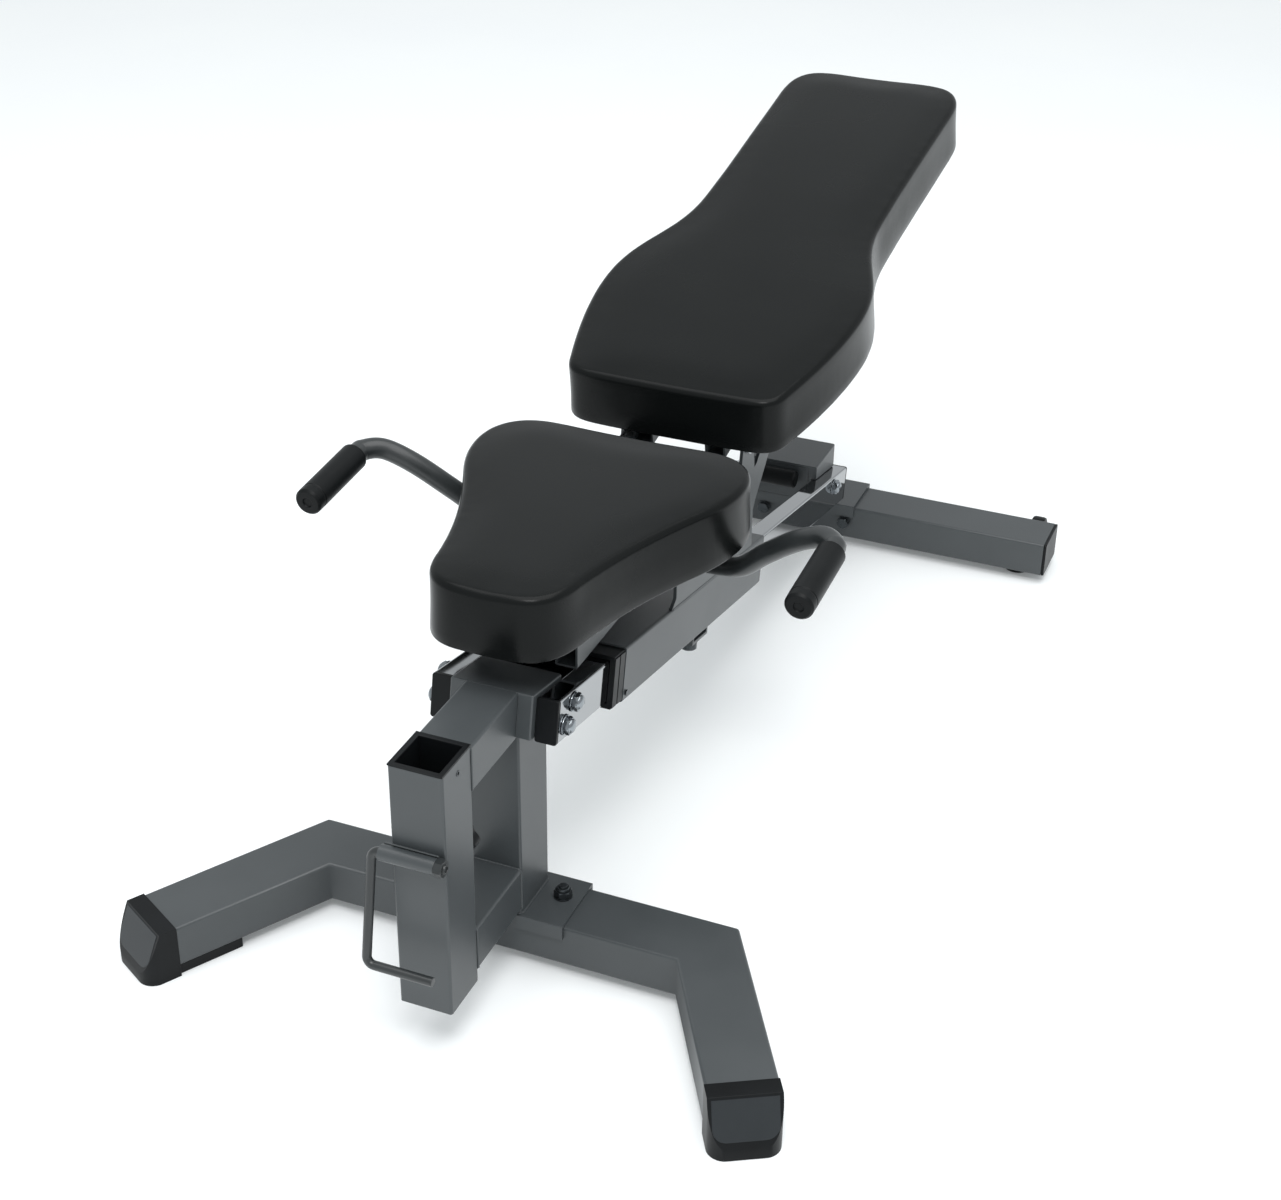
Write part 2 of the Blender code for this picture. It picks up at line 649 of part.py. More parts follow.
def build_lift_handle():
    """Bent rod that hangs from a sleeve on the receiver; a nut keeps it in the sleeve."""
    sleeve = turned(LIFT_AXIS - X_AXIS * (LIFT_SLEEVE_HALF + 0.007), X_AXIS,
                    ((0, LIFT_SLEEVE_RADIUS), (2 * LIFT_SLEEVE_HALF, LIFT_SLEEVE_RADIUS)),
                    bore=LIFT_ROD_RADIUS + HOLE_CLEARANCE)
    add_node("handle_sleeve", sleeve, PAINT, smooth=True)
    left = -LIFT_SLEEVE_HALF - 0.007 - GAP - LIFT_BEND
    hang = Vector((0, -math.sin(LIFT_LEAN), -math.cos(LIFT_LEAN))) * LIFT_DROP
    nut = LIFT_SLEEVE_HALF - 0.007 + GAP
    corners = [LIFT_AXIS + X_AXIS * nut, LIFT_AXIS + X_AXIS * left,
               LIFT_AXIS + X_AXIS * left + hang, LIFT_AXIS + X_AXIS * LIFT_GRIP_END + hang]
    path = rounded_path(corners, LIFT_BEND)
    rod = pipe(path, LIFT_ROD_RADIUS, sides=14)
    handle = add_node("lift_handle", rod, BLACK_STEEL, LIFT_AXIS, smooth=True)
    stations = ((0, 0.0076, "hex"), (0.008, 0.0076, "hex"), (0.008, 0.005), (0.011, 0.0045))
    nut_mesh = turned(LIFT_AXIS + X_AXIS * nut, X_AXIS, stations)
    return handle, nut_mesh


build_column()
build_arm("lower_arm", LOWER_ARM_TOP)
build_arm("upper_arm", UPPER_ARM_TOP)
build_receiver()
build_clamp()
lift_handle, lift_nut = build_lift_handle()
join(lift_handle, lift_nut, "nut")


# ================================================================ rails and their brackets
def rail_bolt(name, base):
    """Bolt across both rails, with a washer and a domed head at each end."""
    reach = RAIL_INSIDE + RAIL_WIDTH + GAP
    head = reach + WASHER_THICKNESS
    end = head + BOLT_HEAD_HEIGHT
    half = [
        (end + 0.003, 0.003), (end + 0.002, 0.006), (end, 0.0085),
        (end, BOLT_HEAD_APOTHEM, "hex"), (head, BOLT_HEAD_APOTHEM, "hex"),
        (head, WASHER_RADIUS), (reach, WASHER_RADIUS), (reach, RAIL_BOLT_RADIUS),
    ]
    stations = [(-s[0], *s[1:]) for s in half]
    stations += reversed(half)
    add_node(name, turned(base, X_AXIS, stations), CHROME, base, smooth=True)


BOLT_HOLE = RAIL_BOLT_RADIUS + HOLE_CLEARANCE
REAR_BOLT_POINT = Vector((0, *REAR_BOLT))
LOCK_ROW_STEP = 0.0305


def build_rail(name, side):
    middle = side * (RAIL_INSIDE + RAIL_WIDTH / 2)

    def place(x, up, along):
        return on_rail(middle + x, up, along)

    ends = (CAP_THICKNESS + GAP, RAIL_LENGTH - CAP_THICKNESS - GAP)
    rail = add_node(name, rect_tube(place, RAIL_WIDTH / 2, -RAIL_HEIGHT, 0, RAIL_WALL, ends), CHROME)
    start = X_AXIS * (middle - RAIL_WIDTH)
    for along, down in HEAD_BOLTS:
        drill(rail, on_rail(0, -down, along) + start, X_AXIS, 2 * RAIL_WIDTH, BOLT_HOLE)
    drill(rail, REAR_BOLT_POINT + start, X_AXIS, 2 * RAIL_WIDTH, BOLT_HOLE)
    if side > 0:
        for step in range(-2, 9):
            along = LOCK_ALONG + LOCK_ROW_STEP * step
            drill(rail, on_rail(middle, -RAIL_HEIGHT - 0.01, along), RAIL_UP, 0.02,
                  LOCK_PIN_RADIUS + 0.001, sides=12)
    return rail


def build_rail_cap(name, side, front):
    """Plastic plug in a rail's end, with a flange over the end of the tube."""
    middle = side * (RAIL_INSIDE + RAIL_WIDTH / 2)
    half = RAIL_WIDTH / 2
    inset = RAIL_WALL + GAP
    flange = rectangle(-half, -RAIL_HEIGHT, half, 0)
    plug = rectangle(-half + inset, -RAIL_HEIGHT + inset, half - inset, -inset)
    depths = ((flange, 0), (flange, CAP_THICKNESS), (plug, CAP_THICKNESS),
              (plug, CAP_THICKNESS + CAP_SPIGOT))
    if not front:
        depths = tuple((outline, RAIL_LENGTH - depth) for outline, depth in depths)
    rings = [[on_rail(middle + p, q, depth) for p, q in outline] for outline, depth in depths]
    add_node(name, skin(bmesh.new(), rings), BLACK_PLASTIC)


def build_head_bracket():
    """Folded channel between the rails, closed in front on each side of the column it is welded on."""
    depth = -RAIL_HEIGHT + 0.004
    half = HEAD_HALF
    inner = half - HEAD_PLATE
    slot = TUBE_WIDTH / 2 + GAP
    profile = [(-half, depth), (-slot, depth), (-slot, HEAD_UNDERSIDE), (slot, HEAD_UNDERSIDE),
               (slot, depth), (half, depth), (half, HEAD_PROUD), (-half, HEAD_PROUD)]
    mesh = prism([profile], lambda x, up: on_rail(x, up, HEAD_START), lambda x, up: on_rail(x, up, HEAD_END))
    bracket = add_node("head_bracket", mesh, PAINT)
    hollow = rectangle(-inner, depth - 0.01, inner, HEAD_UNDERSIDE + GAP)
    carve(bracket, prism([hollow], lambda x, up: on_rail(x, up, HEAD_START + HEAD_PLATE),
                         lambda x, up: on_rail(x, up, HEAD_END + 0.01)))
    for along, down in HEAD_BOLTS:
        drill(bracket, on_rail(-half - 0.01, -down, along), X_AXIS, 2 * half + 0.02, BOLT_HOLE)


def build_rear_bracket():
    """Welded box between the rails' rear ends, with a level top that rests over both rails."""
    half = HEAD_HALF
    inner = half - REAR_BOX_WALL

    def station(y):
        seat = rail_height(y, GAP)
        outer = [(-half, REAR_BOX_BOTTOM), (half, REAR_BOX_BOTTOM), (half, seat), (REAR_BOX_HALF, seat),
                 (REAR_BOX_HALF, REAR_BOX_TOP), (-REAR_BOX_HALF, REAR_BOX_TOP), (-REAR_BOX_HALF, seat),
                 (-half, seat)]
        low = REAR_BOX_BOTTOM + REAR_BOX_WALL
        high = REAR_BOX_TOP - REAR_BOX_WALL
        hollow = [(-inner, low), (inner, low), (inner, high), (-inner, high)]
        return outer, hollow

    front = station(REAR_BOX_FRONT)
    back = station(REAR_BOX_BACK)
    mesh = bmesh.new()
    skin_front = [[mesh.verts.new((x, REAR_BOX_FRONT, z)) for x, z in loop] for loop in front]
    skin_back = [[mesh.verts.new((x, REAR_BOX_BACK, z)) for x, z in loop] for loop in back]
    for near, far in zip(skin_front, skin_back):
        for i in range(len(near)):
            j = (i + 1) % len(near)
            mesh.faces.new((near[i], near[j], far[j], far[i]))
    for loops, verts in ((front, skin_front), (back, skin_back)):
        flat = verts[0] + verts[1]
        for triangle in tessellate_polygon([[Vector((x, z, 0)) for x, z in loop] for loop in loops]):
            mesh.faces.new([flat[i] for i in triangle])
    box = add_node("rear_bracket", mesh, PAINT)
    drill(box, REAR_BOLT_POINT - X_AXIS * (half + 0.01), X_AXIS, 2 * half + 0.02, BOLT_HOLE)


for side_name, side in SIDES:
    build_rail("rail_" + side_name, side)
    build_rail_cap("rail_cap_front_" + side_name, side, True)
    build_rail_cap("rail_cap_rear_" + side_name, side, False)
build_head_bracket()
build_rear_bracket()
for bolt_name, (along, down) in zip(("front_rail_bolt_upper", "front_rail_bolt_lower"), HEAD_BOLTS):
    rail_bolt(bolt_name, on_rail(0, -down, along))
rail_bolt("rear_rail_bolt", REAR_BOLT_POINT)


# ================================================================ rear foot
REAR_FOOT_BACK = REAR_FOOT_FRONT + FOOT_DEPTH


def build_rear_foot():
    def place(y, z, x):
        return Vector((x, REAR_FOOT_FRONT + FOOT_DEPTH / 2 + y, z))

    add_node("rear_foot", rect_tube(place, FOOT_DEPTH / 2, FOOT_LIFT, FOOT_TOP, FOOT_WALL,
                                    (-REAR_FOOT_HALF, REAR_FOOT_HALF)), PAINT)
    add_node("rear_saddle", prism(
        [saddle_profile(REAR_FOOT_FRONT, REAR_FOOT_BACK)],
        lambda y, z: Vector((-REAR_SADDLE_HALF, y, z)),
        lambda y, z: Vector((REAR_SADDLE_HALF, y, z))), PAINT)


def build_rear_post():
    """Leaning tube from the rear saddle up to the box between the rails."""
    bottom = SADDLE_TOP + GAP
    top = REAR_BOX_BOTTOM - GAP
    half = TUBE_WIDTH / 2

    def level(height, front, inset):
        outline = rectangle(-half + inset, front + inset, half - inset, front + POST_DEPTH - inset)
        return [Vector((x, y, height)) for x, y in outline]

    rings = [level(bottom, POST_FOOT_FRONT, 0), level(top, POST_TOP_FRONT, 0),
             level(top, POST_TOP_FRONT, TUBE_WALL), level(bottom, POST_FOOT_FRONT, TUBE_WALL)]
    add_node("rear_post", skin(bmesh.new(), rings, closed=True), PAINT)


def build_rear_end(name, side):
    """End cap of the rear foot tube."""
    inset = FOOT_WALL + GAP
    face = rectangle(REAR_FOOT_FRONT, FOOT_LIFT, REAR_FOOT_BACK, FOOT_TOP)
    plug = rectangle(REAR_FOOT_FRONT + inset, FOOT_LIFT + inset, REAR_FOOT_BACK - inset, FOOT_TOP - inset)
    seat = REAR_FOOT_HALF + GAP
    places = ((face, seat + REAR_CAP), (face, seat), (plug, seat), (plug, seat - 0.02))
    rings = [[Vector((side * x, y, z)) for y, z in outline] for outline, x in places]
    add_node(name, skin(bmesh.new(), rings), BLACK_PLASTIC)


def build_rear_pad(name, side):
    middle = (side * REAR_PAD_X, REAR_FOOT_FRONT + FOOT_DEPTH / 2, 0)
    stations = ((0, REAR_PAD_RADIUS - 0.002), (0.002, REAR_PAD_RADIUS), (FOOT_LIFT - GAP, REAR_PAD_RADIUS))
    add_node(name, turned(middle, Z_AXIS, stations), BLACK_RUBBER, smooth=True)


WHEEL_Y = REAR_FOOT_BACK + WHEEL_BACK


def build_wheel(side_name, side):
    """Transport wheel on a stub axle that a welded plate carries behind the foot."""
    middle = Vector((side * WHEEL_X, WHEEL_Y, WHEEL_HEIGHT))
    inner = side * (WHEEL_X - WHEEL_WIDTH / 2 - 0.001)
    outline = [(REAR_FOOT_BACK + GAP, FOOT_LIFT + 0.004), (WHEEL_Y, FOOT_LIFT + 0.001)]
    outline += arc(WHEEL_Y, WHEEL_HEIGHT, 0.012, math.radians(-80), math.radians(80), 10)
    outline += [(REAR_FOOT_BACK + GAP, FOOT_TOP - 0.010)]
    plate = plate_x([outline], inner, inner - side * WHEEL_PLATE)
    bracket = add_node("wheel_bracket_" + side_name, plate, PAINT)
    length = WHEEL_WIDTH + 0.001 + 0.001 + GAP
    stations = ((-0.003, WHEEL_AXLE_RADIUS), (length, WHEEL_AXLE_RADIUS), (length, 0.009),
                (length + 0.002, 0.009), (length + 0.003, 0.007))
    join(bracket, turned((inner, WHEEL_Y, WHEEL_HEIGHT), X_AXIS * side, stations), "axle")
    half = WHEEL_WIDTH / 2
    tyre = ((-half, WHEEL_RADIUS - 0.003), (-half + 0.003, WHEEL_RADIUS), (half - 0.003, WHEEL_RADIUS),
            (half, WHEEL_RADIUS - 0.003))
    wheel = turned(middle, X_AXIS, tyre, bore=WHEEL_AXLE_RADIUS + HOLE_CLEARANCE, sides=48)
    add_node("wheel_" + side_name, wheel, BLACK_RUBBER, middle, smooth=True)


def build_buffer():
    """Rubber roller in front of the rear bracket, where the carriage stops."""
    height = REAR_BOX_TOP - 0.006 - BUFFER_RADIUS
    middle = Vector((-BUFFER_HALF, REAR_BOX_FRONT - BUFFER_RADIUS - GAP, height))
    stations = ((0, BUFFER_RADIUS - 0.002), (0.002, BUFFER_RADIUS), (2 * BUFFER_HALF - 0.002, BUFFER_RADIUS),
                (2 * BUFFER_HALF, BUFFER_RADIUS - 0.002))
    add_node("stop_buffer", turned(middle, X_AXIS, stations), BLACK_RUBBER, smooth=True)


build_rear_foot()
build_rear_post()
for side_name, side in SIDES:
    build_rear_end("rear_cap_" + side_name, side)
    build_rear_pad("rear_pad_" + side_name, side)
    build_wheel(side_name, side)
build_buffer()


# ================================================================ carriage
CARRIAGE_END = CARRIAGE_START + CARRIAGE_LENGTH


def carriage_top(y):
    """World height just over the carriage's top at a given Y."""
    return rail_height(y, CARRIAGE_OVER + GAP)


def build_carriage():
    def place(x, up, along):
        return on_rail(x, up, along)

    low = -RAIL_HEIGHT - CARRIAGE_UNDER
    tube = rect_tube(place, CARRIAGE_HALF, low, CARRIAGE_OVER, CARRIAGE_WALL, (CARRIAGE_START, CARRIAGE_END))
    carriage = add_node("carriage", tube, PAINT, on_rail(0, 0, CARRIAGE_START))
    pin_x = RAIL_INSIDE + RAIL_WIDTH / 2
    drill(carriage, on_rail(pin_x, low - 0.01, LOCK_ALONG), RAIL_UP, 0.02, LOCK_PIN_RADIUS + HOLE_CLEARANCE)


def build_bush(name, mouth, outwards, flange):
    """Plastic guide ring in a mouth of the carriage, running round both rails."""
    outer = CARRIAGE_HALF - CARRIAGE_WALL - GAP
    top = CARRIAGE_OVER - CARRIAGE_WALL - GAP
    low = -RAIL_HEIGHT - CARRIAGE_UNDER + CARRIAGE_WALL + GAP
    bore_half = RAIL_INSIDE + RAIL_WIDTH + SLIDE_GAP
    sleeve = rectangle(-outer, low, outer, top)
    lip = rectangle(-outer - 0.0025, low - 0.0025, outer + 0.0025, top + 0.0025)
    bore = rectangle(-bore_half, -RAIL_HEIGHT - SLIDE_GAP, bore_half, SLIDE_GAP)
    seat = mouth + outwards * GAP
    stops = ((bore, mouth - outwards * BUSH_DEPTH), (sleeve, mouth - outwards * BUSH_DEPTH),
             (sleeve, seat), (lip, seat), (lip, mouth + outwards * flange),
             (bore, mouth + outwards * flange))
    rings = [[on_rail(p, q, along) for p, q in outline] for outline, along in stops]
    add_node(name, skin(bmesh.new(), rings, closed=True), BLACK_PLASTIC, on_rail(0, 0, CARRIAGE_START))


def side_plate_outline():
    """Outline in Y and Z: a seat lug, a valley that clears the backrest, the hinge lug and a rear arm."""
    front = 0.229
    back = 0.505
    outline = [(front, carriage_top(front)), (0.243, 0.309), (0.243, 0.384)]
    outline += arc(0.250, 0.384, 0.007, math.radians(180), math.radians(90), 4)[1:]
    outline += [(0.326, 0.391), (0.340, 0.384), (0.356, 0.334), (0.366, 0.327), (0.436, 0.322)]
    outline.append((0.447, 0.328))
    outline += arc(HINGE_Y, HINGE_Z, HINGE_LUG, math.radians(195), math.radians(-20), 16)
    outline += [(0.504, 0.358), (0.512, 0.360), (0.569, 0.407)]
    outline += arc(0.580, 0.396, 0.0156, math.radians(135), math.radians(-50), 10)
    outline += [(0.512, 0.308), (back, 0.298), (back, carriage_top(back))]
    return outline


LATCH_POINT = HINGE + Vector((0, math.cos(LATCH_ANGLE), math.sin(LATCH_ANGLE))) * LATCH_RADIUS


def build_side_plate(name, side):
    holes = [circle(HINGE_Y, HINGE_Z, HINGE_RADIUS + HOLE_CLEARANCE),
             circle(SEAT_PIVOT_Y, SEAT_PIVOT_Z, SEAT_PIVOT_RADIUS + HOLE_CLEARANCE)]
    if side < 0:
        holes.append(circle(LATCH_POINT.y, LATCH_POINT.z, LATCH_PIN_RADIUS + HOLE_CLEARANCE))
    mesh = plate_x([side_plate_outline()] + holes, side * (CARRIAGE_HALF - SIDE_PLATE), side * CARRIAGE_HALF)
    add_node(name, mesh, PAINT, on_rail(0, 0, CARRIAGE_START))


def build_axle(name, centre, radius, half, head):
    """Pivot bolt across the carriage with a low head at each end."""
    stations = ((-half - 0.007, head * 0.8), (-half - 0.005, head), (-half, head), (-half, radius),
                (half, radius), (half, head), (half + 0.005, head), (half + 0.007, head * 0.8))
    add_node(name, turned(centre, X_AXIS, stations), ZINC, centre, smooth=True)


def build_carriage_lock():
    """Spring pin under the carriage that drops into the row of holes in the right rail."""
    pin_x = RAIL_INSIDE + RAIL_WIDTH / 2
    top = -RAIL_HEIGHT - CARRIAGE_UNDER - GAP
    low = top - LOCK_BRACKET_DROP
    half = 0.014
    wall = 0.004
    near, far = LOCK_ALONG - LOCK_BRACKET_HALF, LOCK_ALONG + LOCK_BRACKET_HALF
    profile = [(near, top), (near, low), (far, low), (far, top),
               (far - wall, top), (far - wall, low + wall), (near + wall, low + wall), (near + wall, top)]
    mesh = prism([profile], lambda along, up: on_rail(pin_x - half, up, along),
                 lambda along, up: on_rail(pin_x + half, up, along))
    bracket = add_node("lock_bracket", mesh, PAINT)
    drill(bracket, on_rail(pin_x, low - 0.01, LOCK_ALONG), RAIL_UP, 0.02, LOCK_PIN_RADIUS + HOLE_CLEARANCE)
    tip = -RAIL_HEIGHT - LOCK_STANDOFF
    knob = low - 0.001
    stations = ((knob - 0.014, 0.008), (knob - 0.012, 0.0105), (knob - 0.003, 0.0105), (knob, 0.007),
                (knob, LOCK_PIN_RADIUS), (tip - 0.001, LOCK_PIN_RADIUS), (tip, LOCK_PIN_RADIUS - 0.001))
    centre = on_rail(pin_x, 0, LOCK_ALONG)
    pin = turned(centre, RAIL_UP, stations)
    add_node("lock_pin", pin, BLACK_STEEL, on_rail(pin_x, knob, LOCK_ALONG), smooth=True)


def build_backrest_lock():
    """Pull pin through the left side plate that drops into the sector's holes."""
    plate = -CARRIAGE_HALF - GAP
    tip = -(LEG_BAR_OUTSIDE + GAP + SECTOR_PLATE + LOCK_STANDOFF)
    stations = ((tip, LATCH_PIN_RADIUS - 0.001), (tip - 0.001, LATCH_PIN_RADIUS),
                (plate - 0.001, LATCH_PIN_RADIUS), (plate - 0.001, 0.009), (plate - 0.012, 0.009),
                (plate - 0.015, 0.006), (plate - 0.017, 0.006), (plate - 0.020, 0.013),
                (plate - 0.034, 0.014), (plate - 0.038, 0.011))
    centre = Vector((0, LATCH_POINT.y, LATCH_POINT.z))
    stations = tuple((-s[0], *s[1:]) for s in stations)
    add_node("backrest_lock_pin", turned(centre, -X_AXIS, stations), BLACK_STEEL,
             centre + X_AXIS * plate, smooth=True)


build_carriage()
build_bush("bush_front", CARRIAGE_START, -1, BUSH_FLANGE)
build_bush("bush_rear", CARRIAGE_END, 1, 0.003)
for side_name, side in SIDES:
    build_side_plate("side_plate_" + side_name, side)
build_axle("hinge_axle", HINGE, HINGE_RADIUS, CARRIAGE_HALF + GAP, 0.014)
build_axle("seat_pivot_bolt", SEAT_PIVOT, SEAT_PIVOT_RADIUS, CARRIAGE_HALF + GAP, 0.011)
rest_half = CARRIAGE_HALF - SIDE_PLATE - GAP
rest_bar = turned((-rest_half, REST_BAR_Y, REST_BAR_Z), X_AXIS,
                  ((0, REST_BAR_RADIUS), (2 * rest_half, REST_BAR_RADIUS)))
add_node("rest_bar", rest_bar, BLACK_RUBBER, smooth=True)
build_carriage_lock()
build_backrest_lock()


# ================================================================ hand grips
def handle_route(side):
    """Middle line of a handle tube, from the side plate out and forward to the grip."""
    start = Vector((CARRIAGE_HALF + GAP, 0.268, 0.350))
    knots = [start + X_AXIS * 0.012, (0.124, 0.264, 0.353), (0.158, 0.243, 0.370), (0.192, 0.222, 0.404),
             (0.232, 0.205, 0.437), (0.264, 0.193, 0.4545), (0.2815, 0.176, 0.4575),
             (GRIP_X, 0.158, 0.4565), (GRIP_X, GRIP_END_Y + 0.006, GRIP_Z - GRIP_DIP)]
    points = [start]
    for i in range(len(knots) - 1):
        p0 = Vector(knots[max(i - 1, 0)])
        p1 = Vector(knots[i])
        p2 = Vector(knots[i + 1])
        p3 = Vector(knots[min(i + 2, len(knots) - 1)])
        for k in range(HANDLE_STEPS):
            t = k / HANDLE_STEPS
            point = 0.5 * (2 * p1 + (p2 - p0) * t + (2 * p0 - 5 * p1 + 4 * p2 - p3) * t * t
                           + (3 * p1 - p0 - 3 * p2 + p3) * t * t * t)
            points.append(point)
    points.append(Vector(knots[-1]))
    return [Vector((side * p.x, p.y, p.z)) for p in points]


def build_handle(side_name, side):
    route = handle_route(side)
    tube = pipe(route, HANDLE_RADIUS, bore=HANDLE_RADIUS - 0.002, sides=14)
    add_node("handle_" + side_name, tube, PAINT, smooth=True)
    end = route[-1]
    heading = (end - route[-1 - HANDLE_STEPS]).normalized()
    start = end - heading * (GRIP_START_Y - GRIP_END_Y - 0.006 - 0.016)
    length = (end - start).length + 0.006
    bore = HANDLE_RADIUS + GAP
    u, v = across(heading)
    stations = ((0, bore), (0, GRIP_RADIUS - 0.0015), (0.002, GRIP_RADIUS), (length - 0.004, GRIP_RADIUS),
                (length, GRIP_RADIUS - 0.003))
    rings = [ring(start + heading * s, u, v, r) for s, r in stations]
    inner = [ring(start + heading * (length - 0.0055), u, v, bore)]
    mesh = bmesh.new()
    loops = [[mesh.verts.new(p) for p in points] for points in inner + rings]
    for first, second in zip(loops, loops[1:]):
        for i in range(len(first)):
            j = (i + 1) % len(first)
            mesh.faces.new((first[i], first[j], second[j], second[i]))
    mesh.faces.new(loops[0])
    mesh.faces.new(loops[-1])
    add_node("grip_" + side_name, mesh, BLACK_RUBBER, start, smooth=True)


for side_name, side in SIDES:
    build_handle(side_name, side)


# ================================================================ seat
def seat_outline(inset=0.0):
    """Half-symmetric plan of the seat: a narrow rounded nose and two wide rear lobes."""
    half = [(0.0, -0.096)]
    half += bezier((0.036, -0.095), (0.060, -0.092), (0.075, -0.078), (0.082, -0.048))
    half += bezier((0.082, -0.048), (0.093, 0.030), (0.118, 0.095), (0.146, 0.152), 10)
    half += bezier((0.146, 0.152), (0.160, 0.182), (0.166, 0.205), (0.166, 0.232))
    half += bezier((0.166, 0.232), (0.166, 0.272), (0.142, 0.3025), (0.098, 0.3027))
    half += [(0.098, 0.3027), (0.0, 0.3027)]
    return mirrored(inset_outline(half, inset))


def inset_outline(half, inset):
    """Moves a half outline inward; its two ends stay on the middle line."""
    moved = []
    for i, (p, q) in enumerate(half):
        before = half[max(i - 1, 0)]
        after = half[min(i + 1, len(half) - 1)]
        if i == 0:
            before = (-after[0], after[1])
        if i == len(half) - 1:
            after = (-before[0], before[1])
        dp, dq = after[0] - before[0], after[1] - before[1]
        size = math.hypot(dp, dq)
        moved.append((max(p - inset * dq / size, 0.0), q + inset * dp / size))
    return moved


def bar_frame_profile(top, bottom):
    """Section of the frame under a pad: a top plate with a square bar at each side."""
    outside = LEG_BAR_OUTSIDE
    inside = LEG_BAR_OUTSIDE - LEG_BAR_WIDTH
    web = top - 0.004
    outer = [(-outside, bottom), (-inside, bottom), (-inside, web), (inside, web), (inside, bottom),
             (outside, bottom), (outside, top), (-outside, top)]
    wall = LEG_BAR_WALL
    hollow = rectangle(inside + wall, bottom + wall, outside - wall, top - wall)
    other = [(-p, q) for p, q in hollow]
    return [outer, hollow, other[::-1]]


SEAT_UNDER = SEAT_TOP - SEAT_THICKNESS
SEAT_BOARD_LOW = SEAT_UNDER - GAP - BOARD_THICKNESS


def build_seat():
    pad = plate_z([seat_outline()], SEAT_UNDER, SEAT_TOP)
    add_node("seat_pad", pad, LEATHERETTE, SEAT_PIVOT)
    board = plate_z([seat_outline(BOARD_INSET)], SEAT_BOARD_LOW, SEAT_UNDER - GAP)
    add_node("seat_board", board, PLYWOOD, SEAT_PIVOT)
    profile = bar_frame_profile(SEAT_BOARD_LOW - GAP, SEAT_BAR_BOTTOM)
    mesh = prism(profile, lambda x, z: Vector((x, SEAT_BAR_FRONT, z)),
                 lambda x, z: Vector((x, SEAT_BAR_BACK, z)))
    frame = add_node("seat_frame", mesh, PAINT, SEAT_PIVOT)
    drill(frame, SEAT_PIVOT - X_AXIS * 0.07, X_AXIS, 0.14, SEAT_PIVOT_RADIUS + HOLE_CLEARANCE)


# ================================================================ backrest
def back_outline(inset=0.0):
    """Half-symmetric plan of the backrest: a wide bulged lower part and a narrower head part."""
    half = [(0.0, 0.0)]
    half += bezier((0.104, 0.0), (0.126, 0.001), (0.137, 0.008), (0.142, 0.030))
    half += bezier((0.142, 0.030), (0.158, 0.085), (0.175, 0.160), (0.1755, 0.225), 10)
    half += bezier((0.1755, 0.225), (0.1755, 0.330), (0.128, 0.350), (0.128, 0.460), 12)
    half += bezier((0.128, 0.460), (0.127, 0.560), (0.130, 0.680), (0.132, 0.780), 4)
    half += bezier((0.132, 0.780), (0.133, 0.832), (0.118, 0.861), (0.070, BACK_LENGTH))
    half += [(0.070, BACK_LENGTH), (0.0, BACK_LENGTH)]
    return mirrored(inset_outline(half, inset))


BACK_UNDER = -BACK_THICKNESS
BACK_BOARD_LOW = BACK_UNDER - GAP - BOARD_THICKNESS
BACK_BAR_LOW = BACK_BOARD_LOW - GAP - BACK_BAR_DEPTH


def back_slab(outline, low, high):
    return prism([outline], lambda x, along: on_back(x, along, low),
                 lambda x, along: on_back(x, along, high))


def sector_outline():
    """Quarter plate round the hinge, notched to pass the rest bar, with a tongue along the backrest bar."""
    start = LATCH_ANGLE - LATCH_STEP * (LATCH_STEPS - 1) - math.radians(7.5)
    end = LATCH_ANGLE + LATCH_STEP + math.radians(8)
    bar_reach = math.hypot(REST_BAR_Y - HINGE_Y, REST_BAR_Z - HINGE_Z)
    bar_angle = math.atan2(REST_BAR_Z - HINGE_Z, REST_BAR_Y - HINGE_Y)
    clear = REST_BAR_RADIUS + REST_BAR_CLEARANCE
    notch = bar_angle - BACKREST_LIFT - math.asin(clear / bar_reach)
    points = arc(0, 0, SECTOR_RADIUS, start, end, 24)
    points += arc(0, 0, bar_reach + clear, end, notch, 3)
    points.append(((bar_reach - clear) * math.cos(notch), (bar_reach - clear) * math.sin(notch)))
    points += [(0.060, -0.010), (0.110, 0.014), (0.110, 0.028), (-0.020, 0.006), (-0.125, 0.004)]
    return [(HINGE_Y + p, HINGE_Z + q) for p, q in points]


def build_sector():
    """Locking sector on the left bar, with a hole for each backrest position."""
    holes = [circle(HINGE_Y, HINGE_Z, HINGE_RADIUS + HOLE_CLEARANCE)]
    for step in range(-1, LATCH_STEPS):
        angle = LATCH_ANGLE - LATCH_STEP * step
        place = (HINGE_Y + LATCH_RADIUS * math.cos(angle), HINGE_Z + LATCH_RADIUS * math.sin(angle))
        holes.append(circle(*place, LATCH_PIN_RADIUS + 0.0006, 12))
    near = -LEG_BAR_OUTSIDE - GAP
    add_node("lock_sector", plate_x([sector_outline()] + holes, near, near - SECTOR_PLATE), ZINC, HINGE)


def build_backrest():
    add_node("back_pad", back_slab(back_outline(), BACK_UNDER, 0.0), LEATHERETTE, HINGE)
    board = back_slab(back_outline(BOARD_INSET), BACK_BOARD_LOW, BACK_UNDER - GAP)
    add_node("back_board", board, PLYWOOD, HINGE)
    profile = bar_frame_profile(BACK_BOARD_LOW - GAP, BACK_BAR_LOW)
    mesh = prism(profile, lambda x, up: on_back(x, BACK_BAR_START, up),
                 lambda x, up: on_back(x, BACK_BAR_END, up))
    frame = add_node("back_frame", mesh, PAINT, HINGE)
    drill(frame, HINGE - X_AXIS * 0.07, X_AXIS, 0.14, HINGE_RADIUS + HOLE_CLEARANCE)
    build_sector()


build_seat()
build_backrest()


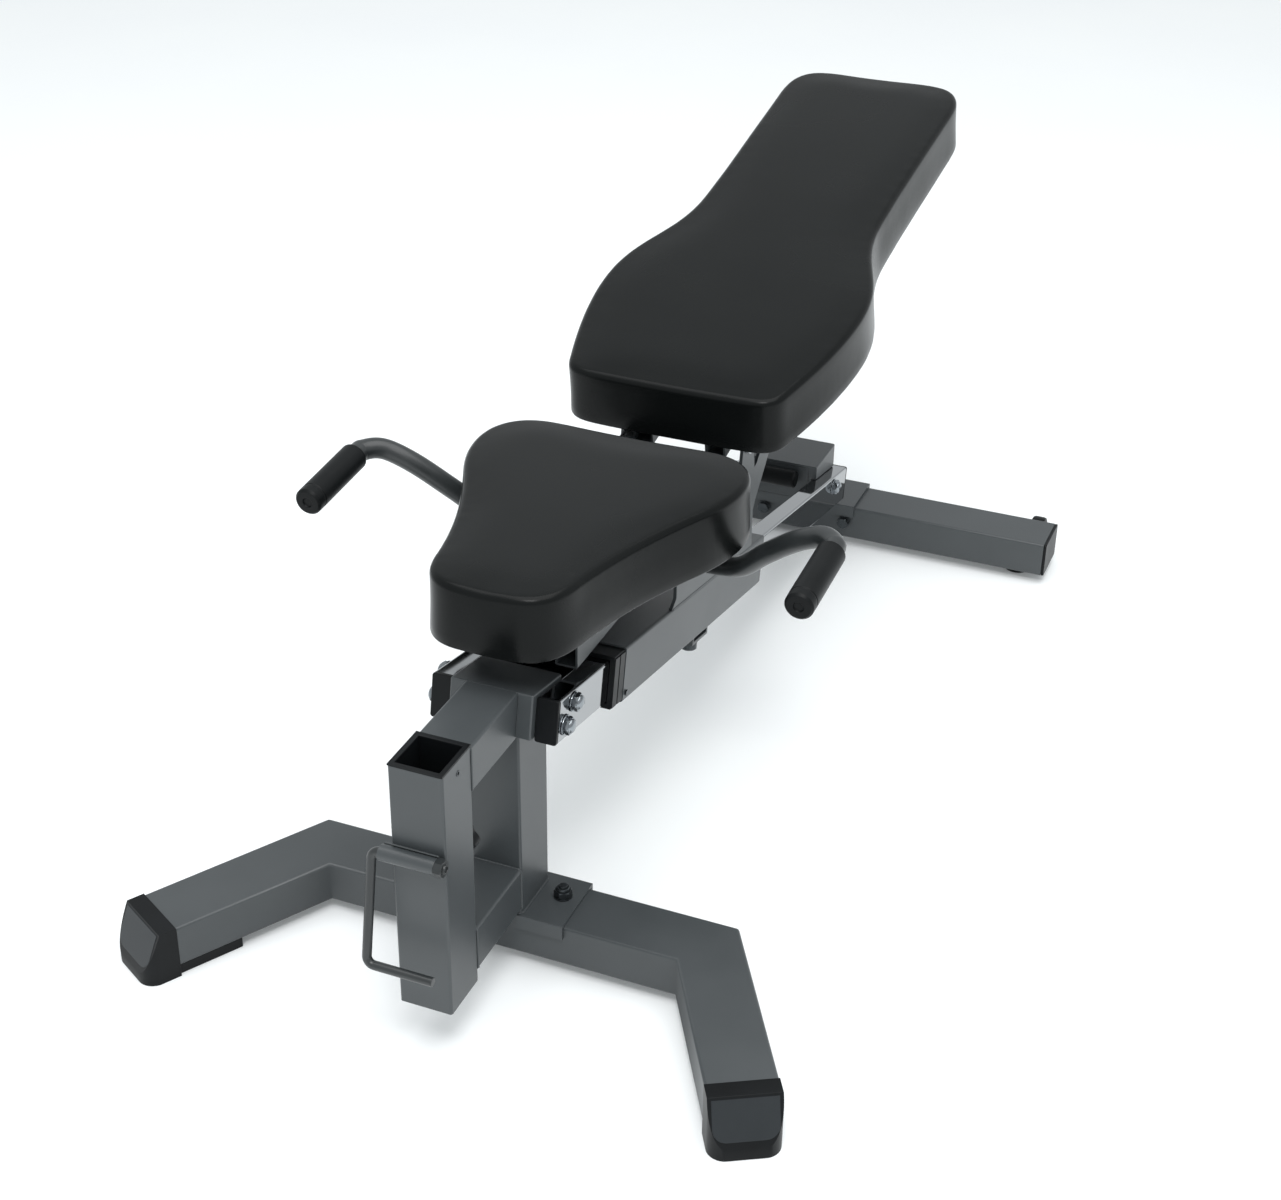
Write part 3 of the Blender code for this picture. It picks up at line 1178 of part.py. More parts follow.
# ================================================================ place the bench on the origin
def centre_bench():
    """Moves everything so that the middle of the bench's plan lies on the origin."""
    bpy.context.view_layer.update()
    low, high = math.inf, -math.inf
    for node in bpy.data.objects:
        if node.hide_render:
            continue
        for corner in node.data.vertices:
            y = node.location.y + corner.co.y
            low, high = min(low, y), max(high, y)
    shift = (low + high) / 2
    for node in bpy.data.objects:
        node.location.y -= shift
    return shift


centre_bench()
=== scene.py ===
"""Adjustable weight bench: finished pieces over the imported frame, from the floor up.

Metres, +Z up.  +X is the sitter's right, +Y runs from the front fork to the head end.
"""
import math

import bmesh
import bpy
import numpy as np
from mathutils import Matrix, Vector
from mathutils.geometry import delaunay_2d_cdt
from mathutils.kdtree import KDTree


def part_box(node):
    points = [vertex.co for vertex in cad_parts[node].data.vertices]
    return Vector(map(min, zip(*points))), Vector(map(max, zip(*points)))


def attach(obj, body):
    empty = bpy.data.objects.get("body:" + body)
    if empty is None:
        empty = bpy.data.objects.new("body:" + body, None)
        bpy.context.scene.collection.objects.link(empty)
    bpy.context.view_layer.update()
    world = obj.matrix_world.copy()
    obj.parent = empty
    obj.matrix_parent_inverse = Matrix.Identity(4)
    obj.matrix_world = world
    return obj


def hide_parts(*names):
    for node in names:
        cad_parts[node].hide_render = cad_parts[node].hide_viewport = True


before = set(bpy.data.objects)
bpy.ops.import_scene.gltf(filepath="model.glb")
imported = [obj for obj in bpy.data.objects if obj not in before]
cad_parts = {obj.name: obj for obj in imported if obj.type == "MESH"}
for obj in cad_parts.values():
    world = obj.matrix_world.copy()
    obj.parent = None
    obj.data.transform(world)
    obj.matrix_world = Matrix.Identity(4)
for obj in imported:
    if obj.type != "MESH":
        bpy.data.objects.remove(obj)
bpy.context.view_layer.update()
scene = bpy.context.scene
CROSSBAR_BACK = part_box("front_foot")[1][1]   # rear face of the front crossbar
X_AXIS, Y_AXIS, Z_AXIS = Vector((1, 0, 0)), Vector((0, 1, 0)), Vector((0, 0, 1))


# ---------------- studio
# A pale seamless floor under a wide soft box and an even pale sky, with a small box
# high in front for the gloss on the pads' edges.  The camera stands high, ahead of the
# bench and to its right.
def linear(code):
    """sRGB hex colour as linear RGBA."""
    values = [int(code[i:i + 2], 16) / 255 for i in (1, 3, 5)]
    return [v / 12.92 if v <= 0.04045 else ((v + 0.055) / 1.055) ** 2.4 for v in values] + [1.0]


def add(tree, kind, fields=(), inputs=(), outputs=()):
    """One node, with its fields, its input values or links, and the sockets it feeds."""
    node = tree.nodes.new(kind)
    for field, value in dict(fields).items():
        setattr(node, field, value)
    for name, value in dict(inputs).items():
        if isinstance(value, bpy.types.NodeSocket):
            tree.links.new(value, node.inputs[name])
        else:
            node.inputs[name].default_value = value
    for name, socket in dict(outputs).items():
        tree.links.new(node.outputs[name], socket)
    return node


def finish_material(name, base, second=None, patch=12.0, rough=(0.4, 0.5), grain=900.0, depth=0.00005,
                    cells=False, metallic=0.0, specular=0.5, coat=0.0):
    """Patchy colour and gloss from a broad noise, relief from a fine noise or from fine cells."""
    material = bpy.data.materials.new(name)
    material.use_nodes = True
    tree = material.node_tree
    shader = tree.nodes["Principled BSDF"]
    shader.inputs["Metallic"].default_value = metallic
    shader.inputs["Specular IOR Level"].default_value = specular
    shader.inputs["Coat Weight"].default_value = coat
    shader.inputs["Coat Roughness"].default_value = 0.25
    place = add(tree, "ShaderNodeTexCoord").outputs["Object"]
    broad = add(tree, "ShaderNodeTexNoise",
                inputs={"Vector": place, "Scale": patch, "Detail": 4.0}).outputs["Fac"]
    ramp = add(tree, "ShaderNodeValToRGB", inputs={"Fac": broad},
               outputs={"Color": shader.inputs["Base Color"]})
    ramp.color_ramp.elements[0].position = 0.3
    ramp.color_ramp.elements[1].position = 0.7
    ramp.color_ramp.elements[0].color = linear(base)
    ramp.color_ramp.elements[1].color = linear(second or base)
    add(tree, "ShaderNodeMapRange", inputs={"Value": broad, "From Min": 0.25, "From Max": 0.75,
        "To Min": rough[0], "To Max": rough[1]}, outputs={"Result": shader.inputs["Roughness"]})
    if cells:
        height = add(tree, "ShaderNodeTexVoronoi", fields={"feature": "SMOOTH_F1"},
                     inputs={"Vector": place, "Scale": grain, "Smoothness": 0.6}).outputs["Distance"]
    else:
        height = add(tree, "ShaderNodeTexNoise",
                     inputs={"Vector": place, "Scale": grain, "Detail": 2.0}).outputs["Fac"]
    add(tree, "ShaderNodeBump", inputs={"Height": height, "Strength": 0.6, "Distance": depth},
        outputs={"Normal": shader.inputs["Normal"]})
    return material


def placed(name, data):
    """A new object in the scene that holds the data."""
    holder = bpy.data.objects.new(name, data)
    scene.collection.objects.link(holder)
    return holder


# Matt paint: no reflections, only the soft shade under the bench.
floor_paint = finish_material("matt_white_floor", "#eceeef", "#eef0f0", patch=2.0, rough=(0.8, 0.9),
                              grain=300.0, depth=0.00002, specular=0.1)
floor_shader = floor_paint.node_tree.nodes["Principled BSDF"].inputs
floor_shader["Emission Color"].default_value = linear("#f6fafb")
floor_shader["Emission Strength"].default_value = 0.14
FLOOR_HALF = 14.0
floor_mesh = bpy.data.meshes.new("studio_floor")
floor_corners = [(x * FLOOR_HALF, y * FLOOR_HALF, 0) for x, y in ((-1, -1), (1, -1), (1, 1), (-1, 1))]
floor_mesh.from_pydata(floor_corners, [], [(0, 1, 2, 3)])
floor_mesh.materials.append(floor_paint)
placed("studio_floor", floor_mesh)

scene.world = bpy.data.worlds.new("studio_air")
scene.world.use_nodes = True
sky = scene.world.node_tree.nodes["Background"].inputs
sky["Color"].default_value = linear("#f6fafc")
sky["Strength"].default_value = 0.78
scene.view_settings.view_transform = "Standard"


def soft_box(name, place, target, width, depth, power):
    """Rectangular area light that faces a target."""
    light = bpy.data.lights.new(name, "AREA")
    light.shape = "RECTANGLE"
    light.size = width
    light.size_y = depth
    light.energy = power
    holder = placed(name, light)
    holder.location = place
    holder.rotation_euler = (Vector(target) - Vector(place)).to_track_quat("-Z", "Y").to_euler()


soft_box("overhead_box", (0.3, -0.5, 3.3), (0, -0.1, 0.2), 3.8, 3.2, 92)
soft_box("front_box", (0.80, -2.2, 3.1), (0, -0.3, 0.45), 1.0, 0.7, 34)

TURN, RISE, ROLL = 0.381635, 0.528061, 0.014673
right = Vector((math.cos(TURN), math.sin(TURN), 0))
back = Vector((math.sin(TURN) * math.cos(RISE), -math.cos(TURN) * math.cos(RISE), math.sin(RISE)))
up = back.cross(right)
rolled_right = right * math.cos(ROLL) + up * math.sin(ROLL)
rolled_up = up * math.cos(ROLL) - right * math.sin(ROLL)
lens = bpy.data.cameras.new("studio_camera")
lens.lens = 59.047
lens.sensor_width = 36.0
lens.clip_end = 60
camera = placed("studio_camera", lens)
camera.matrix_world = Matrix((
    (rolled_right.x, rolled_up.x, back.x, 0.81856),
    (rolled_right.y, rolled_up.y, back.y, -1.70833 + CROSSBAR_BACK),
    (rolled_right.z, rolled_up.z, back.z, 1.52333),
    (0, 0, 0, 1)))
scene.camera = camera


# ---------------- front foot
# One rectangular steel tube, mitred and welded into a crossbar with two splayed
# legs, then powder coated dark grey.  The corners of the tube are rolled round.
# Baked polyester powder: an even satin skin with a faint orange peel, 1 mm across.
powder_coat = finish_material("graphite_powder_coat", "#3b3f41", "#414547", patch=9.0, rough=(0.34, 0.42),
                              grain=1100.0, depth=0.00005, specular=0.5)


def show(name, mesh, material, body, stands_for=(), sharp=32, weighted=True):
    """Links a finished piece made in world coordinates, ties it to its body and hides the imported parts it stands
    for.
    """
    if isinstance(mesh, bmesh.types.BMesh):
        data = bpy.data.meshes.new(name)
        mesh.to_mesh(data)
        mesh.free()
        mesh = data
    mesh.shade_smooth()
    mesh.set_sharp_from_angle(angle=math.radians(sharp))
    mesh.materials.clear()
    mesh.materials.append(material)
    piece = placed(name, mesh)
    if weighted:
        even = piece.modifiers.new("even_normals", "WEIGHTED_NORMAL")
        even.keep_sharp = True
        even.weight = 100
    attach(piece, body)
    if stands_for:
        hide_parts(*stands_for)
    return piece


def thin(face):
    """A tube's or a plate's narrow edge face."""
    edge_sum = sum(edge.calc_length() for edge in face.edges)
    return 2 * face.calc_area() / edge_sum < 0.0052


def rounded(mesh, edges, radius, steps=2):
    """Rounds the given edges by a radius."""
    bmesh.ops.bevel(mesh, geom=edges, offset=radius, offset_type="OFFSET", segments=steps,
                    profile=0.5, affect="EDGES", clamp_overlap=True)


def ease(mesh, rim, lip, angle=28):
    """Rounds the long sharp edges by rim, and those of narrow faces by lip."""
    limit = math.radians(angle)
    for radius, steps, narrow in ((rim, 4, False), (lip, 2, True)):
        edges = []
        for edge in mesh.edges:
            if len(edge.link_faces) != 2 or edge.calc_face_angle(0) < limit or not edge.is_convex:
                continue
            if any(thin(face) for face in edge.link_faces) != narrow or edge.calc_length() < 0.008:
                continue
            edges.append(edge)
        if radius and edges:
            rounded(mesh, edges, radius, steps)


def clean_copy(node):
    """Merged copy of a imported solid, with its flat faces whole."""
    mesh = bmesh.new()
    mesh.from_mesh(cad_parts[node].data)
    bmesh.ops.remove_doubles(mesh, verts=mesh.verts, dist=0.00002)
    bmesh.ops.dissolve_limit(mesh, angle_limit=math.radians(0.5), verts=mesh.verts, edges=mesh.edges,
                             use_dissolve_boundaries=False)
    return mesh


def dressed(node, material, body, rim=0.0026, lip=0.0006):
    """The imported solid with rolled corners, in its finish."""
    mesh = clean_copy(node)
    ease(mesh, rim, lip)
    return show(node + "_finished", mesh, material, body, (node,))


dressed("front_foot", powder_coat, "base", rim=0.0034)


# ---------------- front shoes
# Moulded polypropylene shoe on each leg: a flat band on top, a slanted shield in
# front and round corners at the floor.  It plugs into the tube and carries a sole.
# Polypropylene from a spark-eroded mould: deep black and satin.  Its grain is finer
# than can be seen and is drawn 0.7 mm across.
moulded_black = finish_material("moulded_black_polypropylene", "#0c0e0f", "#121416", patch=14.0,
                                rough=(0.34, 0.42), grain=1500.0, depth=0.00004, specular=0.16)
LEG_SPLAY = math.radians(29.75)
BEND_HALF_SPAN = 0.2545   # from the middle to the outer corner of a bend
SIDES = (("left", -1), ("right", 1))


def leg_point(side, along, inward, height):
    """A point from the distances along a leg, inward from its outer face and over the floor."""
    corner = Vector((side * BEND_HALF_SPAN, CROSSBAR_BACK, height))
    heading = Vector((side * math.sin(LEG_SPLAY), -math.cos(LEG_SPLAY), 0))
    inwards = Vector((-side * math.cos(LEG_SPLAY), -math.sin(LEG_SPLAY), 0))
    return corner + heading * along + inwards * inward


def walls(mesh, loops):
    """Walls between neighbouring rings of points."""
    for near, far in zip(loops, loops[1:]):
        for i in range(len(near)):
            j = (i + 1) % len(near)
            mesh.faces.new((near[i], near[j], far[j], far[i]))


def closed(mesh, loops):
    """Walls between rings and a face over each end, all facing outward."""
    walls(mesh, loops)
    mesh.faces.new(loops[0][::-1])
    mesh.faces.new(loops[-1])
    bmesh.ops.recalc_face_normals(mesh, faces=mesh.faces)
    return mesh


def block(place, outline, low, high):
    """Prism over a flat outline; place(p, q, height) gives its points."""
    mesh = bmesh.new()
    return closed(mesh, [[mesh.verts.new(place(p, q, height)) for p, q in outline]
                         for height in (low, high)])


def arc(p, q, radius, start, end, steps=8):
    """Points of an arc about (p, q), from one angle to another in degrees."""
    turns = [math.radians(start + (end - start) * i / steps) for i in range(steps + 1)]
    return [(p + radius * math.cos(a), q + radius * math.sin(a)) for a in turns]


def cut_off(mesh, point, normal):
    """Slices away what lies beyond a plane and closes the cut."""
    geometry = mesh.verts[:] + mesh.edges[:] + mesh.faces[:]
    done = bmesh.ops.bisect_plane(mesh, geom=geometry, plane_co=point, plane_no=normal, clear_outer=True)
    edges = [item for item in done["geom_cut"] if isinstance(item, bmesh.types.BMEdge)]
    bmesh.ops.contextual_create(mesh, geom=edges)


def join(*meshes):
    """Several meshes as one."""
    whole = bmesh.new()
    for mesh in meshes:
        data = bpy.data.meshes.new("part")
        mesh.to_mesh(data)
        mesh.free()
        whole.from_mesh(data)
        bpy.data.meshes.remove(data)
    return whole


# The shell's own moulded plastic again, painted lighter on the slanted shield to stand in for the light that falls
# on that face; the same mould grain.
shoe_painted_lit = finish_material("satin_charcoal_plastic", "#202427", "#25292c", patch=14.0,
                                 rough=(0.36, 0.42), grain=1500.0, depth=0.00003, specular=0.3)
for side_name, side in SIDES:
    def on_leg(along, inward, height):
        return leg_point(side, along, inward, height)

    seam, nose, inner, outer, turn, top = 0.2353, 0.2770, -0.0005, 0.0765, 0.019, 0.0658
    plan = [(seam, inner)] + arc(nose - turn, inner + turn, turn, -90, 0)
    plan += arc(nose - turn, outer - turn, turn, 0, 90) + [(seam, outer)]
    shell = block(on_leg, plan, 0.0, top)
    top_edge = on_leg(0.2555, 0.038, top)
    toe_edge = on_leg(0.2765, 0.038, 0.0150)
    heading = on_leg(1, 0, 0) - on_leg(0, 0, 0)
    across = (on_leg(0, 1, 0) - on_leg(0, 0, 0)).normalized()
    slant = (toe_edge - top_edge).cross(across).normalized()
    slant = slant if slant.dot(heading) > 0 else -slant
    cut_off(shell, top_edge, slant)
    ease(shell, 0.0012, 0.0)
    sole = block(on_leg, [(0.1575, 0.003), (0.2360, 0.003), (0.2360, 0.073), (0.1575, 0.073)],
                 0.0, 0.0136)
    ease(sole, 0.0015, 0.0)
    show("front_shoe_moulding_" + side_name, join(shell, sole), moulded_black, "base",
         ("front_shoe_" + side_name,), sharp=24)
    down = (toe_edge - top_edge).normalized()
    reach = (toe_edge - top_edge).length
    outline = [(-0.0345, 0.0030), (0.0345, 0.0030)] + arc(0.0195, reach - 0.022, 0.0150, 0, 90)
    outline += arc(-0.0195, reach - 0.022, 0.0150, 90, 180)

    def on_slant(p, q, height):
        return top_edge + across * p + down * q + slant * height

    shield = block(on_slant, outline, -0.002, 0.0005)
    rounded(shield, [e for e in shield.edges if e.calc_face_angle(0) > 1], 0.0006)
    # The shield's lighter colour is painted light on the shoe's slanted front face, against the darker shell.
    show("front_shoe_shield_" + side_name, shield, shoe_painted_lit, "base")


# ---------------- front saddle and its bolts
# Folded steel saddle over the crossbar, welded to the column and bolted through the
# tube.  Each bolt ends in a washer and a locking nut with a nylon ring.
# Hot-blackened steel: a thin oxide that lets a soft metal glint through.
black_steel = finish_material("black_oxide_steel", "#3a3e40", "#484c4f", patch=60.0, rough=(0.22, 0.34),
                              grain=2200.0, depth=0.00002, metallic=0.85)
dressed("front_saddle", powder_coat, "base", rim=0.0012, lip=0.0008)


def square_to(axis):
    """Two directions square to an axis and to each other."""
    helper = Z_AXIS if abs(axis.z) < 0.9 else X_AXIS
    first = axis.cross(helper).normalized()
    return first, axis.cross(first).normalized()


def turned(base, axis, profile, sides=64, lip=0.0005):
    """Turned solid: profile holds (distance along the axis, radius) from end to end."""
    axis = Vector(axis).normalized()
    first, second = square_to(axis)
    base = Vector(base)
    mesh = bmesh.new()
    loops = []
    for distance, radius in profile:
        turns = [2 * math.pi * i / sides for i in range(sides)]
        spokes = [first * math.cos(a) + second * math.sin(a) for a in turns]
        loops.append([mesh.verts.new(base + axis * distance + spoke * radius) for spoke in spokes])
    closed(mesh, loops)
    if lip:
        edges = [e for e in mesh.edges if e.calc_face_angle(0) > math.radians(30) and e.is_convex]
        rounded(mesh, edges, lip)
    return mesh


def hexagon(base, axis, low, high, apothem, dome=0.0012):
    """Hexagonal head or nut with its corners turned down at both ends."""
    axis = Vector(axis).normalized()
    first, second = square_to(axis)
    sides = 48
    mesh = bmesh.new()
    loops = []
    corner = apothem / math.cos(math.pi / 6)
    for height, reach in ((low, apothem), (low + dome, corner), (high - dome, corner), (high, apothem)):
        loop = []
        for i in range(sides):
            angle = 2 * math.pi * i / sides
            flat = apothem / math.cos((angle % (math.pi / 3)) - math.pi / 6)
            radius = min(flat, reach)
            spoke = first * math.cos(angle) + second * math.sin(angle)
            loop.append(mesh.verts.new(Vector(base) + axis * height + spoke * radius))
        loops.append(loop)
    return closed(mesh, loops)


for side_name, side in SIDES:
    foot = (side * 0.058, CROSSBAR_BACK - 0.030, 0)
    washer = turned(foot, Z_AXIS, ((0.0697, 0.0106), (0.0710, 0.0106)), lip=0.0003)
    nut = hexagon(foot, Z_AXIS, 0.0710, 0.0788, 0.0088, 0.0009)
    collar = turned(foot, Z_AXIS, ((0.0786, 0.0078), (0.0828, 0.0070)), lip=0.0012)
    stud = turned(foot, Z_AXIS, ((0.0140, 0.0050), (0.0848, 0.0050)), lip=0.001)
    head = hexagon(foot, Z_AXIS, 0.0075, 0.0137, 0.0088)
    show("saddle_fastener_" + side_name, join(washer, nut, collar, stud, head), black_steel, "base",
         ("saddle_bolt_" + side_name,))


# ---------------- column, arms and receiver
# Upright column and an open receiver tube joined by two level arms, all square-cut
# tube.  A moulded liner with a thin flange sits in the receiver's mouth.
for node in ("column", "upper_arm", "lower_arm", "receiver_tube"):
    dressed(node, powder_coat, "base", rim=0.0030)
dressed("receiver_liner", moulded_black, "base", rim=0.0008, lip=0.0005)
dressed("head_bracket", powder_coat, "base", rim=0.0022, lip=0.0008)
liner_screw = turned((0.0299, CROSSBAR_BACK - 0.2140, 0.3445), X_AXIS,
                     ((0, 0.0034), (0.0006, 0.0034), (0.0006, 0.0019), (0.0001, 0.0019)), 40, 0.0001)
show("liner_screw", liner_screw, black_steel, "base")


# ---------------- welds of the base
# Every tube joint carries a small run of weld under the coating.  One tree sweeps a
# rippled bead along the seams drawn as plain lines.
def weld_tree():
    """A rippled bead swept along lines, and the identifiers of its inputs."""
    tree = bpy.data.node_groups.new("weld_bead", "GeometryNodeTree")
    inputs = {}
    sockets = (("Seams", "NodeSocketGeometry", None), ("Bead Radius", "NodeSocketFloat", 0.0013),
               ("Ripple Pitch", "NodeSocketFloat", 0.0024), ("Ripple Height", "NodeSocketFloat", 0.10),
               ("Coating", "NodeSocketMaterial", None))
    for name, kind, value in sockets:
        socket = tree.interface.new_socket(name=name, in_out="INPUT", socket_type=kind)
        if value is not None:
            socket.default_value = value
        inputs[name] = socket.identifier
    tree.interface.new_socket(name="Bead", in_out="OUTPUT", socket_type="NodeSocketGeometry")
    source = add(tree, "NodeGroupInput").outputs
    line = add(tree, "GeometryNodeMeshToCurve", inputs={"Mesh": source["Seams"]}).outputs["Curve"]
    fine = add(tree, "GeometryNodeResampleCurve", {"mode": "LENGTH"}, {"Curve": line, "Length": 0.0008})
    length = add(tree, "GeometryNodeSplineParameter").outputs["Length"]
    size = length
    for operation, values in (("DIVIDE", {1: source["Ripple Pitch"]}), ("MULTIPLY", {1: 2 * math.pi}),
                              ("SINE", {}), ("MULTIPLY_ADD", {1: source["Ripple Height"], 2: 1.0}),
                              ("MULTIPLY", {1: source["Bead Radius"]})):
        size = add(tree, "ShaderNodeMath", {"operation": operation}, {0: size, **values}).outputs[0]
    ring = add(tree, "GeometryNodeCurvePrimitiveCircle", inputs={"Resolution": 10, "Radius": 1.0})
    swept = add(tree, "GeometryNodeCurveToMesh", inputs={
        "Curve": fine.outputs["Curve"], "Profile Curve": ring.outputs["Curve"], "Scale": size,
        "Fill Caps": True}).outputs["Mesh"]
    smooth = add(tree, "GeometryNodeSetShadeSmooth", inputs={"Geometry": swept}).outputs["Geometry"]
    real = add(tree, "GeometryNodeRealizeInstances", inputs={"Geometry": smooth}).outputs["Geometry"]
    coated = add(tree, "GeometryNodeSetMaterial", inputs={"Geometry": real, "Material": source["Coating"]})
    end = add(tree, "NodeGroupOutput")
    tree.links.new(coated.outputs["Geometry"], end.inputs[0])
    return tree, inputs


bead_tree, bead_inputs = weld_tree()


def plain_mesh(holder, name):
    """What the holder's modifiers make, as a plain mesh; the holder is removed."""
    graph = bpy.context.evaluated_depsgraph_get()
    mesh = bpy.data.meshes.new_from_object(holder.evaluated_get(graph))
    mesh.name = name
    bpy.data.objects.remove(holder)
    return mesh


def grown(name, lines, tree, settings):
    """The plain mesh that a node tree makes from lines or points."""
    holder = placed(name, lines)
    growth = holder.modifiers.new("growth", "NODES")
    growth.node_group = tree
    for identifier, value in settings.items():
        growth[identifier] = value
    return plain_mesh(holder, name)


def weld(name, seams, body, radius=0.0013):
    """Beads along seams; a seam is a list of points, closed when its ends meet."""
    points, edges = [], []
    for seam in seams:
        start = len(points)
        whole = (Vector(seam[0]) - Vector(seam[-1])).length < 0.00001
        kept = seam[:-1] if whole else seam
        points += [tuple(p) for p in kept]
        edges += [(start + i, start + i + 1) for i in range(len(kept) - 1)]
        if whole:
            edges.append((start + len(kept) - 1, start))
    lines = bpy.data.meshes.new(name)
    lines.from_pydata(points, edges, [])
    beads = grown(name, lines, bead_tree, {
        bead_inputs["Bead Radius"]: radius, bead_inputs["Coating"]: powder_coat})
    show(name, beads, powder_coat, body, sharp=60, weighted=False)


def closed_rectangle(place, p0, q0, p1, q1, turn=0.003):
    """Points of a rectangle with cut corners, back to its start."""
    flat = [(p0 + turn, q0), (p1 - turn, q0), (p1, q0 + turn), (p1, q1 - turn), (p1 - turn, q1),
            (p0 + turn, q1), (p0, q1 - turn), (p0, q0 + turn), (p0 + turn, q0)]
    return [place(p, q) for p, q in flat]


def local(x, y, z):
    """A point whose Y is measured from the crossbar's rear face."""
    return Vector((x, y + CROSSBAR_BACK, z))


SLOPE = math.radians(11.1)
RAIL_ALONG = Vector((0, math.cos(SLOPE), -math.sin(SLOPE)))
RAIL_UP = Vector((0, math.sin(SLOPE), math.cos(SLOPE)))


def on_rail(x, height, along):
    """A point from X, the height over the rails' top and the distance from their front."""
    return local(0, -0.068, 0.351) + X_AXIS * x + RAIL_UP * height + RAIL_ALONG * along


base_seams = [
    closed_rectangle(lambda x, y: local(x, y, 0.0698), -0.0300, -0.0768, 0.0300, -0.0068),
    closed_rectangle(lambda x, z: local(x, -0.0770, z), -0.0300, 0.0760, 0.0300, 0.1300),
    closed_rectangle(lambda x, z: local(x, -0.1845, z), -0.0300, 0.0760, 0.0300, 0.1300),
    closed_rectangle(lambda x, z: local(x, -0.1845, z), -0.0300, 0.3030, 0.0300, 0.3565),
    closed_rectangle(lambda x, y: local(x, y, 0.0698), -0.0300, 0.9985, 0.0300, 1.0575),
    [local(-0.0300, -0.0770, 0.3035), local(0.0300, -0.0770, 0.3035)],
    [local(-0.0370, -0.2470, 0.2640), local(0.0235, -0.2470, 0.2640)],
    [local(-0.0290, -0.2470, 0.2510), local(0.0235, -0.2470, 0.2510)],
]
for side in (-1, 1):
    base_seams.append([local(side * 0.0302, -0.0768, 0.0800), local(side * 0.0302, -0.0768, 0.1255)])
    base_seams.append([local(side * 0.3224, 1.0663, 0.0200), local(side * 0.3224, 1.0663, 0.0545)])
weld("base_welds", base_seams, "base")


# ---------------- lift handle
# Bent round bar that swings in a tube welded across the receiver's front.  A nut
# keeps the bar in, and the free end is cut square with a small chamfer.
# Lacquered bar stock: satin black, a shade glossier than the powder coat.
coated_bar = finish_material("satin_black_bar", "#232627", "#2a2d2e", patch=30.0, rough=(0.28, 0.36),
                             grain=1600.0, depth=0.00003, specular=0.55)


def bar(path, radius, sides=32, lip=0.0):
    """Round bar along a path."""
    points = [Vector(p) for p in path]
    mesh = bmesh.new()
    loops = []
    spoke = None
    for i, point in enumerate(points):
        heading = (points[min(i + 1, len(points) - 1)] - points[max(i - 1, 0)]).normalized()
        if spoke is None:
            spoke = square_to(heading)[0]
        else:
            spoke = (spoke - heading * spoke.dot(heading)).normalized()
        other = heading.cross(spoke)
        turns = [2 * math.pi * k / sides for k in range(sides)]
        loops.append([mesh.verts.new(point + (spoke * math.cos(a) + other * math.sin(a)) * radius)
                      for a in turns])
    closed(mesh, loops)
    if lip:
        edges = [e for e in mesh.edges if e.calc_face_angle(0) > math.radians(50)]
        bmesh.ops.bevel(mesh, geom=edges, offset=lip, offset_type="OFFSET", segments=3, profile=0.5,
                        affect="EDGES")
    return mesh


def bent(corners, radius, steps=10):
    """A line through corners, each inner one turned on a radius."""
    points = [Vector(corners[0])]
    for before, corner, after in zip(corners, corners[1:], corners[2:]):
        inward = (Vector(before) - corner).normalized()
        onward = (Vector(after) - corner).normalized()
        half = inward.angle(onward) / 2
        centre = corner + (inward + onward).normalized() * (radius / math.sin(half))
        first = (corner + inward * (radius / math.tan(half)) - centre).normalized()
        last = (corner + onward * (radius / math.tan(half)) - centre).normalized()
        points += [centre + first.slerp(last, i / steps) * radius for i in range(steps + 1)]
    return points + [Vector(corners[-1])]


lift_axis = local(0, -0.2555, 0.258)
sleeve = turned(lift_axis - X_AXIS * 0.038, X_AXIS, ((0, 0.0085), (0.062, 0.0085)), lip=0.0008)
show("lift_sleeve", sleeve, powder_coat, "base", ("handle_sleeve",))
drop = Vector((0, -math.sin(math.radians(11)), -math.cos(math.radians(11)))) * 0.128
elbow = lift_axis - X_AXIS * 0.0473
corners = [lift_axis + X_AXIS * 0.030, elbow, elbow + drop, lift_axis + X_AXIS * 0.028 + drop]
rod = bar(bent(corners, 0.009), 0.005, lip=0.0008)
nut = hexagon(lift_axis, X_AXIS, 0.0243, 0.0333, 0.0088, 0.0008)
stub = turned(lift_axis, X_AXIS, ((0.0330, 0.0054), (0.0352, 0.0050), (0.0352, 0.0034), (0.0340, 0.0034)),
              lip=0.0003)
show("lift_bar", join(rod, nut, stub), coated_bar, "lift_handle_body", ("lift_handle",))


# ---------------- clamp knob
# Six-lobed plastic knob moulded on a threaded stud; it presses on the post of an
# attachment through the receiver's rear wall.
def clamp_knob():
    """The knob's lobed body and its neck."""
    start, widest = local(0, -0.1847, 0.220), 0.021
    first, second = square_to(Y_AXIS)
    sides = 96
    mesh = bmesh.new()
    loops = []
    stations = ((0.0180, 0.62), (0.0180, 0.92), (0.0190, 0.97), (0.0205, 1.0), (0.0310, 1.0),
                (0.0330, 0.97), (0.0345, 0.90), (0.0350, 0.70), (0.0338, 0.40), (0.0338, 0.10))
    for distance, share in stations:
        loop = []
        for i in range(sides):
            angle = 2 * math.pi * i / sides
            lobes = 1 - 0.085 * (1 - math.cos(6 * angle)) * min(1.0, max(0.0, (share - 0.4) / 0.5))
            spoke = first * math.cos(angle) + second * math.sin(angle)
            loop.append(mesh.verts.new(start + Y_AXIS * distance + spoke * (widest * share * lobes)))
        loops.append(loop)
    return join(closed(mesh, loops), turned(start, Y_AXIS, ((0.0021, 0.0088), (0.0185, 0.0100))))


